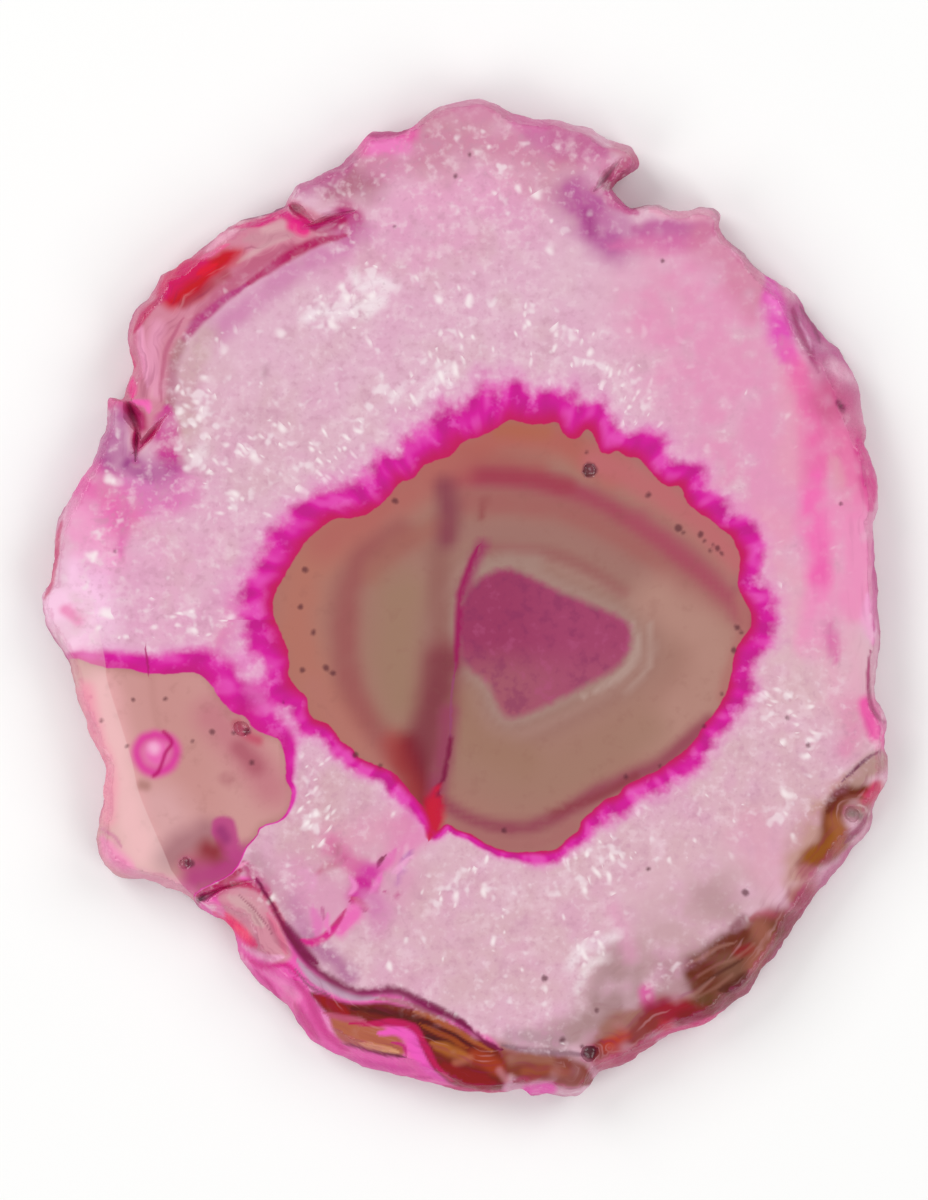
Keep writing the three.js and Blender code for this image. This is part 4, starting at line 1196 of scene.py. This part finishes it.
def addRings(tree, found, stone, look):
    # dye that soaked in along the crystal roots: a hot pink ring, dark at its roots and feathered outwards
    found["dyed"] = layOver(tree, found, look["dye"], look["dyeLayers"])
    for edge, width, ragged, rootCover in look["rings"]:
        found["rootCover"] = rootCover
        share = addNode(tree, "Math", {0: found[edge], 1: found[width]}, operation="DIVIDE")
        feather = addNode(tree, "Math", {0: found["teeth"], 1: ragged, 2: share}, operation="MULTIPLY_ADD")
        found["feather"] = addNode(
            tree, "Math", {0: found["cloud"], 1: ragged, 2: feather}, operation="MULTIPLY_ADD")
        found["root"] = addNode(
            tree, "Math", {0: found["teeth"], 1: look["rootWave"], 2: share}, operation="MULTIPLY_ADD")
        stone = layOver(tree, found, stone, [
            (value, ragged + start, ragged + end, cover, colour)
            for value, start, end, cover, colour in look["ringLayers"]
        ])
        stone = layOver(tree, found, stone, look["rootLayers"])
    return stone


def colourFace(tree, found, stone, look):
    # banded chalcedony inside the rings, then what lies over the whole face: painted light on the thin rim at
    # the left, the lines, the dye along the brink and down the rind, and the specks
    for edge, amount in look["looseness"].items():
        found[edge] = addNode(
            tree, "Math", {0: found["fine"], 1: amount, 2: found[edge]}, operation="MULTIPLY_ADD")
    found["core"] = layOver(tree, found, look["core"], look["coreLayers"])
    found["chalcedony"] = layOver(tree, found, "chalcedonyTone", look["chalcedonyLayers"])
    side = addNode(tree, "Math", {0: found["lineSide"]}, operation="ABSOLUTE")
    side = addNode(tree, "Math", {0: side, 1: found["lineWidth"]}, operation="DIVIDE")
    below = addNode(
        tree, "Math", {0: found["height"], 1: -1 / cadBox[1][2], 2: found["rough"]}, operation="MULTIPLY_ADD")
    for name, wave, value in (
        ("lineShare", look["lineWave"], side),
        ("brink", look["brinkWave"], found["brinkDepth"]),
        ("rind", look["rindWave"], below),
    ):
        found[name] = addNode(tree, "Math", {0: found["cloud"], 1: wave, 2: value}, operation="MULTIPLY_ADD")
    start, end, cover = look["backlitVeil"]
    found["backlitVeil"] = addNode(
        tree, "MapRange", {"Value": found["up"], "From Min": start, "From Max": end, "To Max": cover})
    return layOver(tree, found, stone, look["faceLayers"])


def dyedAgate(look, markNames):
    # dyed agate, sawn and polished: calm tan bands, cloudy pink quartz and hot pink dye under a soft shine,
    # with a matt, grainy edge where the rim is broken
    material = bpy.data.materials.new("polishedDyedAgate")
    material.use_nodes = True
    tree = material.node_tree
    tree.nodes.clear()
    place = addNode(tree, "TexCoord", {}, out="Object")
    found = {
        name: addNode(
            tree, "Attribute", {}, out="Color" if name.endswith("Tone") else "Fac", attribute_name=name)
        for name in markNames
    }
    for axis, name in enumerate(("across", "up", "height")):
        found[name] = addNode(tree, "SeparateXYZ", {0: place}, out=axis)
    found["fan"] = fanOut(tree, place, look)
    addGrains(tree, found, place, look)
    stone = addRings(tree, found, colourQuartz(tree, found, place, look), look)
    stone = colourFace(tree, found, stone, look)
    shine = addNode(tree, "VectorMath", {0: stone, 1: (look["skyShine"],) * 3}, operation="SUBTRACT")
    grain = addNode(tree, "TexNoise", {
        "Vector": place, "Scale": mmPerMetre / look["rimGrain"], "Detail": look["rimGrainDetail"],
    })
    relief = addNode(tree, "Bump", {
        "Height": grain, "Strength": found["rough"], "Distance": look["rimGrainDepth"],
    })
    shader = addNode(tree, "BsdfPrincipled", {
        "Base Color": addNode(tree, "VectorMath", {0: shine, 1: (0, 0, 0)}, operation="MAXIMUM"),
        "IOR": look["ior"], "Normal": relief,
        "Roughness": addNode(tree, "MapRange", {
            "Value": found["rough"], "To Min": look["polishRoughness"], "To Max": look["rimRoughness"],
        }),
    })
    addNode(tree, "OutputMaterial", {"Surface": shader})
    return material


stone.data.materials.append(dyedAgate(stoneLook, markNames))
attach(stone, "root")
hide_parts("agate_slice")
print("stone coloured")


# Table, light and camera

stageSet = {
    "floorSize": 30.0,
    "floorDrop": 0.00001,  # m below the slice, so that the two faces don't lie in one plane
    "floorColour": "fbfbfa",
    "floorRoughness": 0.9,
    "skyStrength": 0.4,
    "lamps": [  # place in m, size in m, watts
        ((-0.75, 0.6, 0.8), 0.7, 5.6),
        ((0.8, 0.55, 0.8), 0.7, 3.9),
        ((0.75, -0.65, 0.8), 0.7, 3.8),
        ((-0.8, -0.6, 0.8), 0.7, 3.9),
    ],
    "lens": 300.0,  # mm, long enough to look straight down everywhere
    "farthestSeen": 50.0,  # m
    "framedHeight": 0.1198,  # m seen from the picture's top to its foot, at the upper face
    "framedMiddle": (-0.00012, -0.00023),
}


def mattPaper(settings):
    # uncoated white paper: an even ground with no shine under the slice
    material = bpy.data.materials.new("mattPaper")
    material.use_nodes = True
    shader = material.node_tree.nodes["Principled BSDF"]
    shader.inputs["Base Color"].default_value = (*hexColour(settings["floorColour"]), 1)
    shader.inputs["Roughness"].default_value = settings["floorRoughness"]
    shader.inputs["Specular IOR Level"].default_value = 0.0
    return material


def buildFloor(settings):
    bm = bmesh.new()
    bmesh.ops.create_grid(bm, x_segments=1, y_segments=1, size=settings["floorSize"] / 2)
    mesh = bpy.data.meshes.new("paperTable")
    bm.to_mesh(mesh)
    bm.free()
    floor = bpy.data.objects.new("paperTable", mesh)
    floor.location.z = -settings["floorDrop"]
    floor.data.materials.append(mattPaper(settings))
    bpy.context.scene.collection.objects.link(floor)
    return floor


def addLamp(number, place, size, power):
    data = bpy.data.lights.new(f"softLamp{number}", "AREA")
    data.shape = "SQUARE"
    data.size = size
    data.energy = power
    lamp = bpy.data.objects.new(data.name, data)
    lamp.location = place
    lamp.rotation_mode = "QUATERNION"
    lamp.rotation_quaternion = Vector(place).to_track_quat("Z", "Y")
    bpy.context.scene.collection.objects.link(lamp)


def addSky(settings):
    world = bpy.data.worlds.new("evenSky")
    world.use_nodes = True
    sky = world.node_tree.nodes["Background"]
    sky.inputs["Color"].default_value = (1, 1, 1, 1)
    sky.inputs["Strength"].default_value = settings["skyStrength"]
    bpy.context.scene.world = world


def addCamera(settings):
    data = bpy.data.cameras.new("overhead")
    data.lens = settings["lens"]
    data.clip_end = settings["farthestSeen"]
    camera = bpy.data.objects.new("overhead", data)
    distance = settings["framedHeight"] * settings["lens"] / data.sensor_width
    camera.location = (*settings["framedMiddle"], cadBox[1][2] + distance)
    bpy.context.scene.collection.objects.link(camera)
    bpy.context.scene.camera = camera


buildFloor(stageSet)
for number, (place, size, power) in enumerate(stageSet["lamps"]):
    addLamp(number, place, size, power)
addSky(stageSet)
addCamera(stageSet)
bpy.context.scene.view_settings.view_transform = "Standard"
print("stage set")
